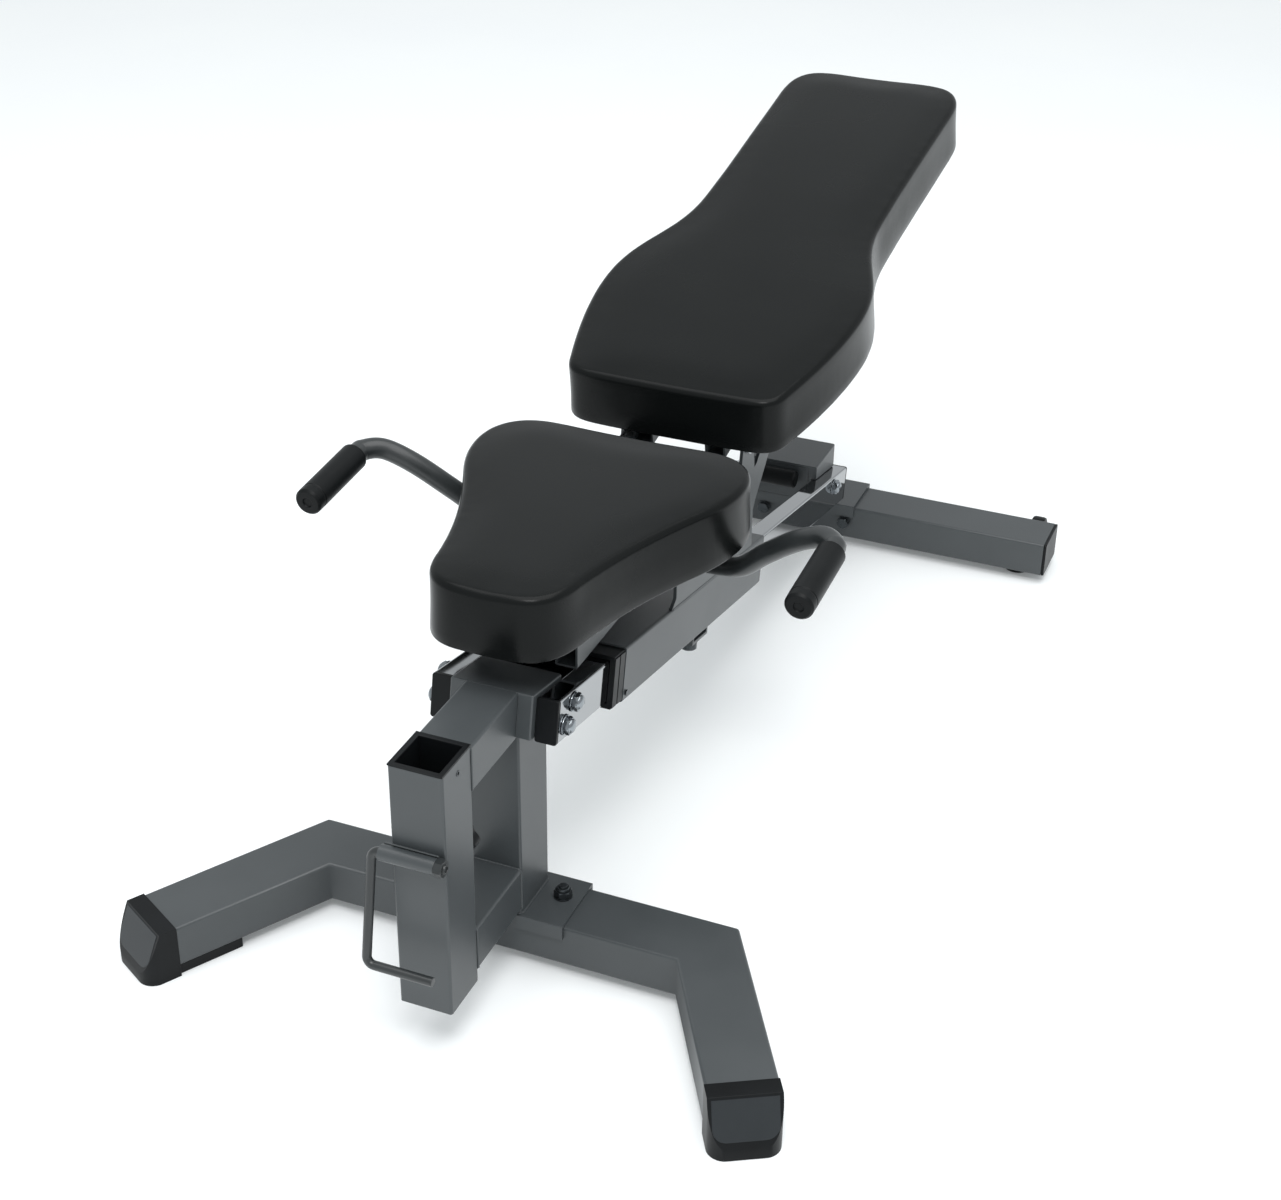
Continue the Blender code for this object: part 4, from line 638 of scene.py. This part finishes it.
# Bright zinc over steel: a pale metal with a faint crystal pattern, 2 mm across.
zinc = finish_material("bright_zinc_plate", "#9da1a4", "#b1b4b5", patch=45.0, rough=(0.26, 0.40),
                       grain=420.0, depth=0.00001, cells=True, metallic=1.0)
show("clamp_star", clamp_knob(), moulded_black, "clamp_body", ("clamp_knob",), sharp=40)
show("clamp_stud", turned(local(0, -0.1897, 0.220), Y_AXIS, ((0, 0.0046), (0.0075, 0.0046))), zinc,
     "clamp_body")


# ---------------- rails
# Two straight rectangular tubes, polished and chrome plated, with small drawn
# corners.  The right one has a row of holes underneath for the carriage lock.
# Polished steel under chrome: sharp reflections, only a slow waviness of the tube. Its tint is darker than bare
# chrome: painted shade standing in for the dark surroundings the rails mirror.
chrome = finish_material("mirror_chrome_painted_shade", "#96989a", "#9c9ea0", patch=3.0, rough=(0.035, 0.06),
                         grain=40.0, depth=0.000002, metallic=1.0)


def rounded_outline(half_p, half_q, turn, steps=6, centre=(0, 0)):
    """Outline of a rectangle with round corners."""
    outline = []
    for p, q, start in ((1, 1, 0), (-1, 1, 90), (-1, -1, 180), (1, -1, 270)):
        outline += arc(centre[0] + p * (half_p - turn), centre[1] + q * (half_q - turn), turn,
                       start, start + 90, steps)
    return outline


def drilled(mesh, cutters, name):
    """Cuts round holes in a mesh and returns the plain result."""
    data = bpy.data.meshes.new(name)
    mesh.to_mesh(data)
    mesh.free()
    holder = placed(name, data)
    tool_data = bpy.data.meshes.new("tool")
    tools = join(*cutters)
    tools.to_mesh(tool_data)
    tools.free()
    tool = placed("tool", tool_data)
    cut = holder.modifiers.new("holes", "BOOLEAN")
    cut.object = tool
    cut.solver = "EXACT"
    plain = plain_mesh(holder, name)
    bpy.data.objects.remove(tool)
    return plain


RAIL_MIDDLE = 0.0601   # from the bench's middle to a rail's
RAIL_HALF_WIDTH, RAIL_HALF_HEIGHT, RAIL_LENGTH = 0.0125, 0.025, 1.0405
RAIL_FLANGE = 0.0048   # what a plug's flange takes off each end of the tube
rail_section = rounded_outline(RAIL_HALF_WIDTH, RAIL_HALF_HEIGHT, 0.0032)
rail_hollow = rounded_outline(0.0100, 0.0225, 0.0010)
for side_name, side in SIDES:
    middle = side * RAIL_MIDDLE

    def rail_point(x, height, along):
        return on_rail(middle + x, height - RAIL_HALF_HEIGHT, along)

    mesh = bmesh.new()
    rings = [[mesh.verts.new(rail_point(p, q, along)) for p, q in outline] for outline, along in
             ((rail_section, RAIL_FLANGE), (rail_section, 1.0357),
              (rail_hollow, 1.0357), (rail_hollow, RAIL_FLANGE))]
    walls(mesh, rings + rings[:1])
    bmesh.ops.recalc_face_normals(mesh, faces=mesh.faces)
    if side > 0:
        spots = [0.432 + 0.0305 * step for step in range(-2, 9)]
        holes = [turned(on_rail(middle, -0.060, along), RAIL_UP, ((0, 0.006), (0.02, 0.006)), 32, 0)
                 for along in spots]
        mesh = drilled(mesh, holes, "rail_tube")
    show("chrome_rail_" + side_name, mesh, chrome, "base", ("rail_" + side_name,), sharp=30)


# ---------------- rail plugs
# Black plastic plug pushed into each end of a rail, with a flange as large as the
# rail's own section.
for side_name, side in SIDES:
    for end_name, start, sign in (("front", 0.0, 1), ("rear", RAIL_LENGTH, -1)):
        middle = side * RAIL_MIDDLE

        def plug_point(p, q, depth):
            return on_rail(middle + p, q - RAIL_HALF_HEIGHT, start + sign * depth)

        flange = block(plug_point, rail_section, 0.0, 0.0045)
        rounded(flange, [e for e in flange.edges if e.calc_face_angle(0) > math.radians(60)], 0.0009, 3)
        stem = block(plug_point, rounded_outline(0.0097, 0.0222, 0.001), 0.0040, 0.0125)
        show("rail_plug_%s_%s" % (end_name, side_name), join(flange, stem), moulded_black, "base",
             ("rail_cap_%s_%s" % (end_name, side_name),), sharp=34)


# ---------------- rail bolts
# Chromed bolts hold the rails to the head bracket and to the rear box.  One tree
# sets the same washer, hexagon and dome on every point, facing outward.
def fastener_tree():
    """The same head set on every point, and the identifiers of its inputs."""
    tree = bpy.data.node_groups.new("bolt_heads", "GeometryNodeTree")
    names = {}
    for name, kind in (("Places", "NodeSocketGeometry"), ("Head", "NodeSocketObject"),
                       ("Size", "NodeSocketFloat"), ("Plating", "NodeSocketMaterial")):
        names[name] = tree.interface.new_socket(name=name, in_out="INPUT", socket_type=kind).identifier
    tree.interface.new_socket(name="Bolts", in_out="OUTPUT", socket_type="NodeSocketGeometry")
    source = add(tree, "NodeGroupInput").outputs
    facing = add(tree, "GeometryNodeInputNamedAttribute", {"data_type": "FLOAT_VECTOR"},
                 {"Name": "facing"}).outputs["Attribute"]
    turn = add(tree, "FunctionNodeAlignRotationToVector", {"axis": "Z"}, {"Vector": facing})
    head = add(tree, "GeometryNodeObjectInfo", inputs={"Object": source["Head"]}).outputs["Geometry"]
    dots = add(tree, "GeometryNodeMeshToPoints", inputs={"Mesh": source["Places"]}).outputs["Points"]
    set_on = add(tree, "GeometryNodeInstanceOnPoints", inputs={"Points": dots, "Instance": head,
                 "Rotation": turn.outputs["Rotation"]})
    grown = add(tree, "GeometryNodeScaleInstances", inputs={"Instances": set_on.outputs["Instances"],
                "Scale": source["Size"]}).outputs["Instances"]
    real = add(tree, "GeometryNodeRealizeInstances", inputs={"Geometry": grown}).outputs["Geometry"]
    plated = add(tree, "GeometryNodeSetMaterial", inputs={"Geometry": real, "Material": source["Plating"]})
    end = add(tree, "NodeGroupOutput")
    tree.links.new(plated.outputs["Geometry"], end.inputs[0])
    return tree, names


# Chrome over unpolished heads: bright, with soft reflections.
bolt_plating = finish_material("satin_chrome_bolts", "#84898c", "#90959a", patch=80.0, rough=(0.14, 0.22),
                               grain=1800.0, depth=0.00001, metallic=1.0)
head_tree, head_inputs = fastener_tree()
washer = turned((0, 0, 0), Z_AXIS, ((0, 0.0115), (0.0016, 0.0115)), lip=0.0005)
head = hexagon((0, 0, 0), Z_AXIS, 0.0016, 0.0072, 0.0090, 0.0012)
dome = turned((0, 0, 0), Z_AXIS, ((0.0068, 0.0082), (0.0082, 0.0078), (0.0096, 0.0066), (0.0106, 0.0046),
                                  (0.0111, 0.0016)), lip=0)
pattern_mesh = bpy.data.meshes.new("bolt_head_pattern")
pattern = join(washer, head, dome)
pattern.to_mesh(pattern_mesh)
pattern.free()
bolt_pattern = placed("bolt_head_pattern", pattern_mesh)

bolt_lines = {
    "front_rail_bolt_upper": on_rail(0, -0.0125, 0.039),
    "front_rail_bolt_lower": on_rail(0, -0.0325, 0.0205),
    "rear_rail_bolt": local(0, 0.886, 0.150),
}
for bolt_name, middle in bolt_lines.items():
    spots = bpy.data.meshes.new(bolt_name + "_spots")
    spots.from_pydata([middle - X_AXIS * 0.0729, middle + X_AXIS * 0.0729], [], [])
    facing = spots.attributes.new("facing", "FLOAT_VECTOR", "POINT")
    facing.data[0].vector = (-1, 0, 0)
    facing.data[1].vector = (1, 0, 0)
    heads = bmesh.new()
    heads.from_mesh(grown(bolt_name + "_heads", spots, head_tree, {
        head_inputs["Head"]: bolt_pattern, head_inputs["Size"]: 1.0, head_inputs["Plating"]: bolt_plating}))
    shank = turned(middle - X_AXIS * 0.0727, X_AXIS, ((0, 0.006), (0.1454, 0.006)), 32, 0)
    show(bolt_name + "_finished", join(heads, shank), bolt_plating, "base", (bolt_name,))
bpy.data.objects.remove(bolt_pattern)


# ---------------- rear box, post and foot
# Folded box between the rails' lower ends, a leaning post welded under it, and a
# straight tube foot across the back with plastic ends and two rubber pads.
# Carbon-filled rubber: near black and soft, with a mould grain drawn 0.8 mm across.
rubber = finish_material("black_moulded_rubber", "#0e1011", "#131516", patch=25.0, rough=(0.36, 0.46),
                         grain=1300.0, depth=0.00006, specular=0.13)
dressed("rear_bracket", powder_coat, "base", rim=0.0024, lip=0.0008)
dressed("rear_post", powder_coat, "base", rim=0.0030)
dressed("rear_saddle", powder_coat, "base", rim=0.0012, lip=0.0008)
dressed("rear_foot", powder_coat, "base", rim=0.0034)
for side_name, side in SIDES:
    middle = local(0, 1.028, 0.0395)

    def cap_point(p, q, height):
        return middle + Y_AXIS * p + Z_AXIS * q + X_AXIS * side * height

    cap = block(cap_point, rounded_outline(0.0380, 0.0255, 0.0040), 0.3643, 0.3683)
    rounded(cap, [e for e in cap.edges if e.calc_face_angle(0) > math.radians(60)], 0.0012, 3)
    plug = block(cap_point, rounded_outline(0.0346, 0.0221, 0.0020), 0.3500, 0.3650)
    show("rear_plug_" + side_name, join(cap, plug), moulded_black, "base",
         ("rear_cap_" + side_name,), sharp=34)


def box_front(p, q, height):
    return local(p, 0.8571 + height, q)


blank_plate = block(box_front, rounded_outline(0.0430, 0.0246, 0.0010, centre=(0, 0.161)), 0.0, 0.0030)
show("rear_box_blank", blank_plate, powder_coat, "base")
for side_name, side in SIDES:
    pad = turned(local(side * 0.322, 1.028, 0), Z_AXIS,
                 ((0, 0.0175), (0.0025, 0.0200), (0.0120, 0.0200), (0.0137, 0.0190)))
    show("rear_rubber_pad_" + side_name, pad, rubber, "base", ("rear_pad_" + side_name,))
buffer = turned(local(-0.029, 0.8442, 0.1715), X_AXIS,
                ((0, 0.0105), (0.002, 0.0125), (0.056, 0.0125), (0.058, 0.0105)))
show("stop_roller", buffer, rubber, "base", ("stop_buffer",))
rear_bolts = []
for side in (-1, 1):
    seat = local(side * 0.063, 0.9857, 0.041)
    rear_bolts.append(turned(seat, -Y_AXIS, ((-0.0014, 0.0096), (0.0002, 0.0096))))
    rear_bolts.append(hexagon(seat, -Y_AXIS, 0.0002, 0.0060, 0.0078))
show("rear_saddle_screws", join(*rear_bolts), black_steel, "base")


# ---------------- transport wheels
# Solid rubber wheels on stub axles behind the rear foot; they meet the floor when
# the front is lifted.
for side_name, side in SIDES:
    dressed("wheel_bracket_" + side_name, powder_coat, "base", rim=0.0008, lip=0.0006)
    centre = local(side * 0.334, 1.096, 0.027)
    tread = turned(centre, X_AXIS, ((-0.0105, 0.0150), (-0.0105, 0.0205), (-0.0090, 0.0240),
                                    (-0.0060, 0.0250), (0.0060, 0.0250), (0.0090, 0.0240),
                                    (0.0105, 0.0205), (0.0105, 0.0150)), 96, 0.0006)
    hub = turned(centre, X_AXIS, ((-0.0108, 0.0062), (-0.0108, 0.0142), (0.0108, 0.0142),
                                  (0.0108, 0.0062)), 64, 0.0006)
    wheel_body = "wheel_%s_body" % side_name
    show("wheel_tread_" + side_name, tread, rubber, wheel_body, ("wheel_" + side_name,), sharp=40)
    show("wheel_hub_" + side_name, hub, moulded_black, wheel_body)


# ---------------- carriage
# Fabricated box sleeve that rides on both rails, with a moulded guide in each mouth,
# two plates for the hinges, and a spring pin underneath.
dressed("carriage", powder_coat, "carriage_body", rim=0.0032)
dressed("bush_front", moulded_black, "carriage_body", rim=0.0012, lip=0.0006)
dressed("bush_rear", moulded_black, "carriage_body", rim=0.0012, lip=0.0006)
for side_name in ("left", "right"):
    dressed("side_plate_" + side_name, powder_coat, "carriage_body", rim=0.0, lip=0.0007)
dressed("lock_bracket", powder_coat, "carriage_body", rim=0.0, lip=0.0006)
bands = []
for near, far in ((0.1352, 0.1474), (0.1500, 0.1630)):
    for side in (-1, 1):
        strip = block(lambda p, q, height: on_rail(side * height, q, p),
                      [(near, -0.0545), (far, -0.0545), (far, 0.0030), (near, 0.0030)], 0.0765, 0.0796)
        ease(strip, 0.0010, 0.0)
        bands.append(strip)
show("bush_bands", join(*bands), moulded_black, "carriage_body")
corner_screw = hexagon(on_rail(0.0802, -0.048, 0.172), X_AXIS, 0.0, 0.0020, 0.0030, 0.0004)
show("carriage_screw", corner_screw, black_steel, "carriage_body")


def pivot(name, node, centre, half, radius, head, body):
    """Plated pivot bolt with a low domed head at each end."""
    profile = ((-half - 0.0066, head * 0.45), (-half - 0.0058, head * 0.82), (-half - 0.0042, head),
               (-half, head), (-half, radius), (half, radius), (half, head), (half + 0.0042, head),
               (half + 0.0058, head * 0.82), (half + 0.0066, head * 0.45))
    show(name, turned(centre, X_AXIS, profile, 64, 0.0004), zinc, body, (node,))


def rest_end(side):
    """The middle of the rest bar's end on one side."""
    return local(side * 0.0757, 0.583, 0.383)


PLATE_FACE = 0.0803   # from the middle to a side plate's outer face
hinge = local(0, 0.478, 0.404)
seat_pivot = local(0, 0.290, 0.370)
pivot("hinge_pivot", "hinge_axle", hinge, PLATE_FACE, 0.008, 0.014, "carriage_body")
pivot("seat_pivot", "seat_pivot_bolt", seat_pivot, PLATE_FACE, 0.006, 0.011, "carriage_body")
rest_roller = turned(rest_end(-1), X_AXIS,
                     ((0, 0.0105), (0.0015, 0.0120), (0.1499, 0.0120), (0.1514, 0.0105)))
show("rest_roller", rest_roller, rubber, "carriage_body", ("rest_bar",))

pin_up = on_rail(RAIL_MIDDLE, 0, 0.432)
low = -0.050 - 0.008 - 0.0003 - 0.014
pin_profile = ((low - 0.0150, 0.0060), (low - 0.0145, 0.0085), (low - 0.0125, 0.0105), (low - 0.0045, 0.0105),
               (low - 0.0015, 0.0080), (low - 0.0010, 0.0050), (-0.0516, 0.0050), (-0.0506, 0.0040))
show("carriage_lock_plunger", turned(pin_up, RAIL_UP, pin_profile, 48, 0.0003), black_steel, "carriage_lock",
     ("lock_pin",))
latch = hinge + Vector((0, math.cos(math.radians(-100)), math.sin(math.radians(-100)))) * 0.131
latch_profile = ((0.0672, 0.0038), (0.0682, 0.0050), (0.0813, 0.0050), (0.0813, 0.0090), (0.0923, 0.0090),
                 (0.0953, 0.0060), (0.0973, 0.0060), (0.0993, 0.0110), (0.1010, 0.0135), (0.1130, 0.0140),
                 (0.1165, 0.0125), (0.1180, 0.0080))
show("backrest_lock_plunger", turned(latch, -X_AXIS, latch_profile, 64, 0.0004), moulded_black, "backrest_lock",
     ("backrest_lock_pin",))


# ---------------- hand grips
# A bent round tube is welded to each side plate and runs out, up and forward.  A
# smooth rubber sleeve covers its end, closed by a moulded plug with a screw.
def swept_route(side):
    """The middle line of a grip tube, as a smooth run through its knots."""
    start = Vector((PLATE_FACE, 0.268, 0.350))
    knots = [start + X_AXIS * 0.012, (0.124, 0.264, 0.353), (0.158, 0.243, 0.370), (0.192, 0.222, 0.404),
             (0.232, 0.205, 0.437), (0.264, 0.193, 0.4545), (0.2815, 0.176, 0.4575), (0.284, 0.158, 0.4565),
             (0.284, 0.058, 0.4485)]
    knots = [Vector(k) for k in knots]
    points = [start]
    for i in range(len(knots) - 1):
        p0, p1, p2, p3 = (knots[min(max(k, 0), len(knots) - 1)] for k in range(i - 1, i + 3))
        for step in range(10):
            t = step / 10
            points.append(0.5 * (2 * p1 + (p2 - p0) * t + (2 * p0 - 5 * p1 + 4 * p2 - p3) * t * t
                                 + (3 * p1 - p0 - 3 * p2 + p3) * t * t * t))
    points.append(knots[-1])
    return [local(side * p.x, p.y, p.z) for p in points]


for side_name, side in SIDES:
    route = swept_route(side)
    show("grip_tube_" + side_name, bar(route, 0.0122, 40), coated_bar, "carriage_body",
         ("handle_" + side_name,))
    end = route[-1]
    heading = (end - route[-9]).normalized()
    sleeve_start = end - heading * 0.102
    sleeve_profile = ((0, 0.0125), (0.0002, 0.0150), (0.0020, 0.0162), (0.0925, 0.0162), (0.0935, 0.0156),
                      (0.0945, 0.0156), (0.0955, 0.0162), (0.1050, 0.0160), (0.1078, 0.0135),
                      (0.1080, 0.0060), (0.1062, 0.0050), (0.1062, 0.0010))
    sleeve = turned(sleeve_start, heading, sleeve_profile, 72, 0.0004)
    show("grip_sleeve_" + side_name, sleeve, rubber, "carriage_body", ("grip_" + side_name,))


# ---------------- welds of the carriage
# Fillets where the side plates stand on the sleeve and where the grip tubes leave
# the plates.
carriage_seams = []
for side in (-1, 1):
    for x in (0.0758, 0.0795):
        carriage_seams.append([on_rail(side * x, 0.0073, along) for along in (0.3055, 0.5800)])
    centre = local(side * 0.0805, 0.268, 0.350)
    ring = arc(0, 0, 0.0123, 0, 360, 32)
    carriage_seams.append([centre + Y_AXIS * p + Z_AXIS * q for p, q in ring[:-1]] + [centre + Y_AXIS * ring[0][0]])
    ring = arc(0, 0, 0.0121, 0, 352, 24)
    carriage_seams.append([rest_end(side) + Y_AXIS * p + Z_AXIS * q for p, q in ring])
weld("carriage_welds", carriage_seams, "carriage_body", radius=0.0013)


# ---------------- seat
# Two square tubes under a plate carry a painted board.  The pad is dense foam under
# one tight sheet of smooth black leatherette, stapled below the board.
# Vinyl on a knitted back: nearly smooth, with a soft highlight along the pads' edges.
# Its pebble is drawn 0.7 mm across.
leatherette = finish_material("smooth_black_leatherette", "#0b0d0d", "#0f1111", patch=7.0, rough=(0.23, 0.29),
                              grain=1500.0, depth=0.00003, cells=True, specular=0.13)
# Plywood under black stain: dull, with the grain still felt.
painted_board = finish_material("black_stained_board", "#191715", "#211f1c", patch=22.0, rough=(0.6, 0.75),
                                grain=700.0, depth=0.00012, specular=0.3)


def rim_outline(node, facing):
    """The outline of a packed pad's top, as points in order."""
    mesh = clean_copy(node)
    mesh.normal_update()
    faces = [f for f in mesh.faces if f.normal.dot(facing) > 0.99]
    face = max(faces, key=lambda f: f.calc_area())
    points = [v.co.copy() for v in face.verts]
    mesh.free()
    return points


def smooth_loop(points, spacing):
    """Evenly spaced points along a closed outline, with its small corners smoothed."""
    circuit = points + points[:1]
    lengths = np.cumsum([0.0] + [(q - p).length for p, q in zip(circuit, circuit[1:])])
    table = np.array([tuple(p) for p in circuit])
    places = np.linspace(0, lengths[-1], int(lengths[-1] / spacing), endpoint=False)
    loop = np.column_stack([np.interp(places, lengths, table[:, k]) for k in range(3)])
    for _ in range(5):
        loop = (np.roll(loop, 1, axis=0) + 2 * loop + np.roll(loop, -1, axis=0)) / 4
    return [Vector(p) for p in loop]


def filled(mesh, ring, facing):
    """Closes a ring with a fine flat net of triangles, so that the cover can bulge evenly."""
    first, second = square_to(facing)
    flat = [Vector((v.co.dot(first), v.co.dot(second))) for v in ring]
    level = sum(v.co.dot(facing) for v in ring) / len(ring)
    count = len(flat)
    table = np.array([tuple(p) for p in flat])
    after = np.roll(table, -1, axis=0)
    inner = []
    for p in np.arange(table[:, 0].min(), table[:, 0].max(), 0.009):
        for q in np.arange(table[:, 1].min(), table[:, 1].max(), 0.009):
            if np.min(np.hypot(table[:, 0] - p, table[:, 1] - q)) < 0.006:
                continue
            crossing = (table[:, 1] > q) != (after[:, 1] > q)
            span = np.where(crossing, after[:, 1] - table[:, 1], 1.0)
            if np.sum(crossing & (p < (after[:, 0] - table[:, 0]) * (q - table[:, 1]) / span + table[:, 0])) % 2:
                inner.append(Vector((p, q)))
    loop = [(i, (i + 1) % count) for i in range(count)]
    points, _, faces, sources, _, _ = delaunay_2d_cdt(flat + inner, loop, [], 1, 0.000001)
    corners = []
    for point, source in zip(points, sources):
        if source and source[0] < count:
            corners.append(ring[source[0]])
        else:
            corners.append(mesh.verts.new(first * point.x + second * point.y + facing * level))
    for face in faces:
        mesh.faces.new([corners[i] for i in face])


def pad_form(node, facing, thickness, shrink, round_over):
    """A pad's closed skin: flat faces, upright sides, a rounded top edge and a tight lower edge."""
    outline = smooth_loop(rim_outline(node, facing), 0.0045)
    count = len(outline)
    inward = [facing.cross((outline[(i + 2) % count] - outline[i - 2]).normalized()) for i in range(count)]
    centre = sum(outline, Vector()) / count
    if sum(n.dot(centre - p) for n, p in zip(inward, outline)) < 0:
        inward = [-n for n in inward]
    span = 3
    share = []
    for i in range(count):
        before, after = inward[i - span], inward[(i + span) % count]
        run = (outline[(i + span) % count] - outline[i - span]).length
        bulges = (after - before).dot(outline[(i + span) % count] - outline[i - span]) < 0
        bend = run / max(after.angle(before), 0.0001) if bulges else 1.0
        share.append(min(1.0, 0.72 * bend / 0.0145))
    for _ in range(3):
        share = [min(share[i - 1], share[i], share[(i + 1) % count]) for i in range(count)]
    for _ in range(6):
        share = [(share[i - 1] + share[i] + share[(i + 1) % count]) / 3 for i in range(count)]
    for _ in range(4):
        inward = [(inward[i - 1] + inward[i] * 2 + inward[(i + 1) % count]).normalized() for i in range(count)]
    profile = [(0.0140, -thickness), (0.0060, -thickness), (0.0020, -thickness), (0.0006, -thickness + 0.0008),
               (0.0, -thickness + 0.0024)]
    for i in range(1, 6):
        profile.append((0.0, -thickness + 0.0024 + (thickness - 0.0024 - round_over) * i / 6))
    for i in range(9):
        angle = math.radians(90 * i / 8)
        profile.append((round_over * (1 - math.cos(angle)), -round_over * (1 - math.sin(angle))))
    profile.append((round_over + 0.005, 0.0))
    mesh = bmesh.new()
    loops = []
    for reach, height in profile:
        level = height - (shrink * 0.5 if height > -thickness * 0.5 else 0.0)
        loops.append([mesh.verts.new(p + n * (reach * part + shrink) + facing * level)
                      for p, n, part in zip(outline, inward, share)])
    walls(mesh, loops)
    filled(mesh, loops[0], facing)
    filled(mesh, loops[-1], facing)
    bmesh.ops.recalc_face_normals(mesh, faces=mesh.faces)
    data = bpy.data.meshes.new(node + "_form")
    mesh.to_mesh(data)
    mesh.free()
    return data


def upholstered(name, node, facing, thickness, body, swell):
    """The sheet over the foam, blown up a little by cloth pressure and held at the board."""
    top = max(v.co.dot(facing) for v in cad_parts[node].data.vertices)
    form = pad_form(node, facing, thickness, 0.0006, 0.0080)
    holder = placed(name + "_cover", form.copy())
    remesh = holder.modifiers.new("even", "REMESH")
    remesh.mode = "VOXEL"
    remesh.voxel_size = 0.006
    even = plain_mesh(holder, name + "_cover")
    holder = placed(name + "_cover", even)
    start = np.array([tuple(v.co) for v in even.vertices])
    depth = start @ np.array(tuple(facing)) - top
    held = holder.vertex_groups.new(name="held")
    held.add([int(i) for i in np.nonzero(depth < -thickness + 0.006)[0]], 1.0, "REPLACE")
    cloth = holder.modifiers.new("cover", "CLOTH")
    settings = cloth.settings
    for field, value in (("quality", 5), ("mass", 0.3), ("tension_stiffness", 25),
                         ("compression_stiffness", 25), ("shear_stiffness", 12),
                         ("bending_stiffness", 2.0), ("use_pressure", True),
                         ("uniform_pressure_force", 4), ("vertex_group_mass", "held")):
        setattr(settings, field, value)
    settings.effector_weights.gravity = 0
    ticks = 20
    cloth.point_cache.frame_start = 1
    cloth.point_cache.frame_end = ticks
    for tick in range(1, ticks + 1):
        scene.frame_set(tick)
    graph = bpy.context.evaluated_depsgraph_get()
    moved = holder.evaluated_get(graph).to_mesh()
    step = np.array([tuple(v.co) for v in moved.vertices]) - start
    holder.evaluated_get(graph).to_mesh_clear()
    length = np.linalg.norm(step, axis=1)
    step *= (np.minimum(length, swell) / np.maximum(length, 1e-9))[:, None]
    pairs = np.array([tuple(edge.vertices) for edge in even.edges])
    around = np.bincount(pairs.ravel(), minlength=len(step))[:, None]
    for _ in range(30):
        total = np.zeros_like(step)
        np.add.at(total, pairs[:, 0], step[pairs[:, 1]])
        np.add.at(total, pairs[:, 1], step[pairs[:, 0]])
        step = 0.5 * step + 0.5 * total / around
    bpy.data.objects.remove(holder)
    scene.frame_set(1)
    nearest = KDTree(len(start))
    for i, place in enumerate(start):
        nearest.insert(place, i)
    nearest.balance()
    for corner in form.vertices:
        found = nearest.find_n(corner.co, 6)
        weights = [1 / (gap + 0.002) for _, _, gap in found]
        pull = sum((step[i] * w for (_, i, _), w in zip(found, weights)), np.zeros(3)) / sum(weights)
        corner.co += Vector(pull)
    pad = show(name, form, leatherette, body, (node,), sharp=180, weighted=False)


dressed("seat_frame", powder_coat, "seat_body", rim=0.0020, lip=0.0006)
dressed("seat_board", painted_board, "seat_body", rim=0.0008, lip=0.0006)
upholstered("seat_cushion", "seat_pad", Z_AXIS, 0.0735, "seat_body", 0.003)


# ---------------- backrest
# The same build, longer: it turns on the hinge pivot, and a zinc-plated sector on
# its left tube takes the lock pin in a row of holes.
BACK_LEAN = math.radians(9.77)
BACK_UP = Vector((0, -math.sin(BACK_LEAN), math.cos(BACK_LEAN)))
dressed("back_frame", powder_coat, "backrest_body", rim=0.0020, lip=0.0006)
dressed("back_board", painted_board, "backrest_body", rim=0.0008, lip=0.0006)
dressed("lock_sector", zinc, "backrest_body", rim=0.0, lip=0.0005)
upholstered("backrest_cushion", "back_pad", BACK_UP, 0.0720, "backrest_body", 0.003)
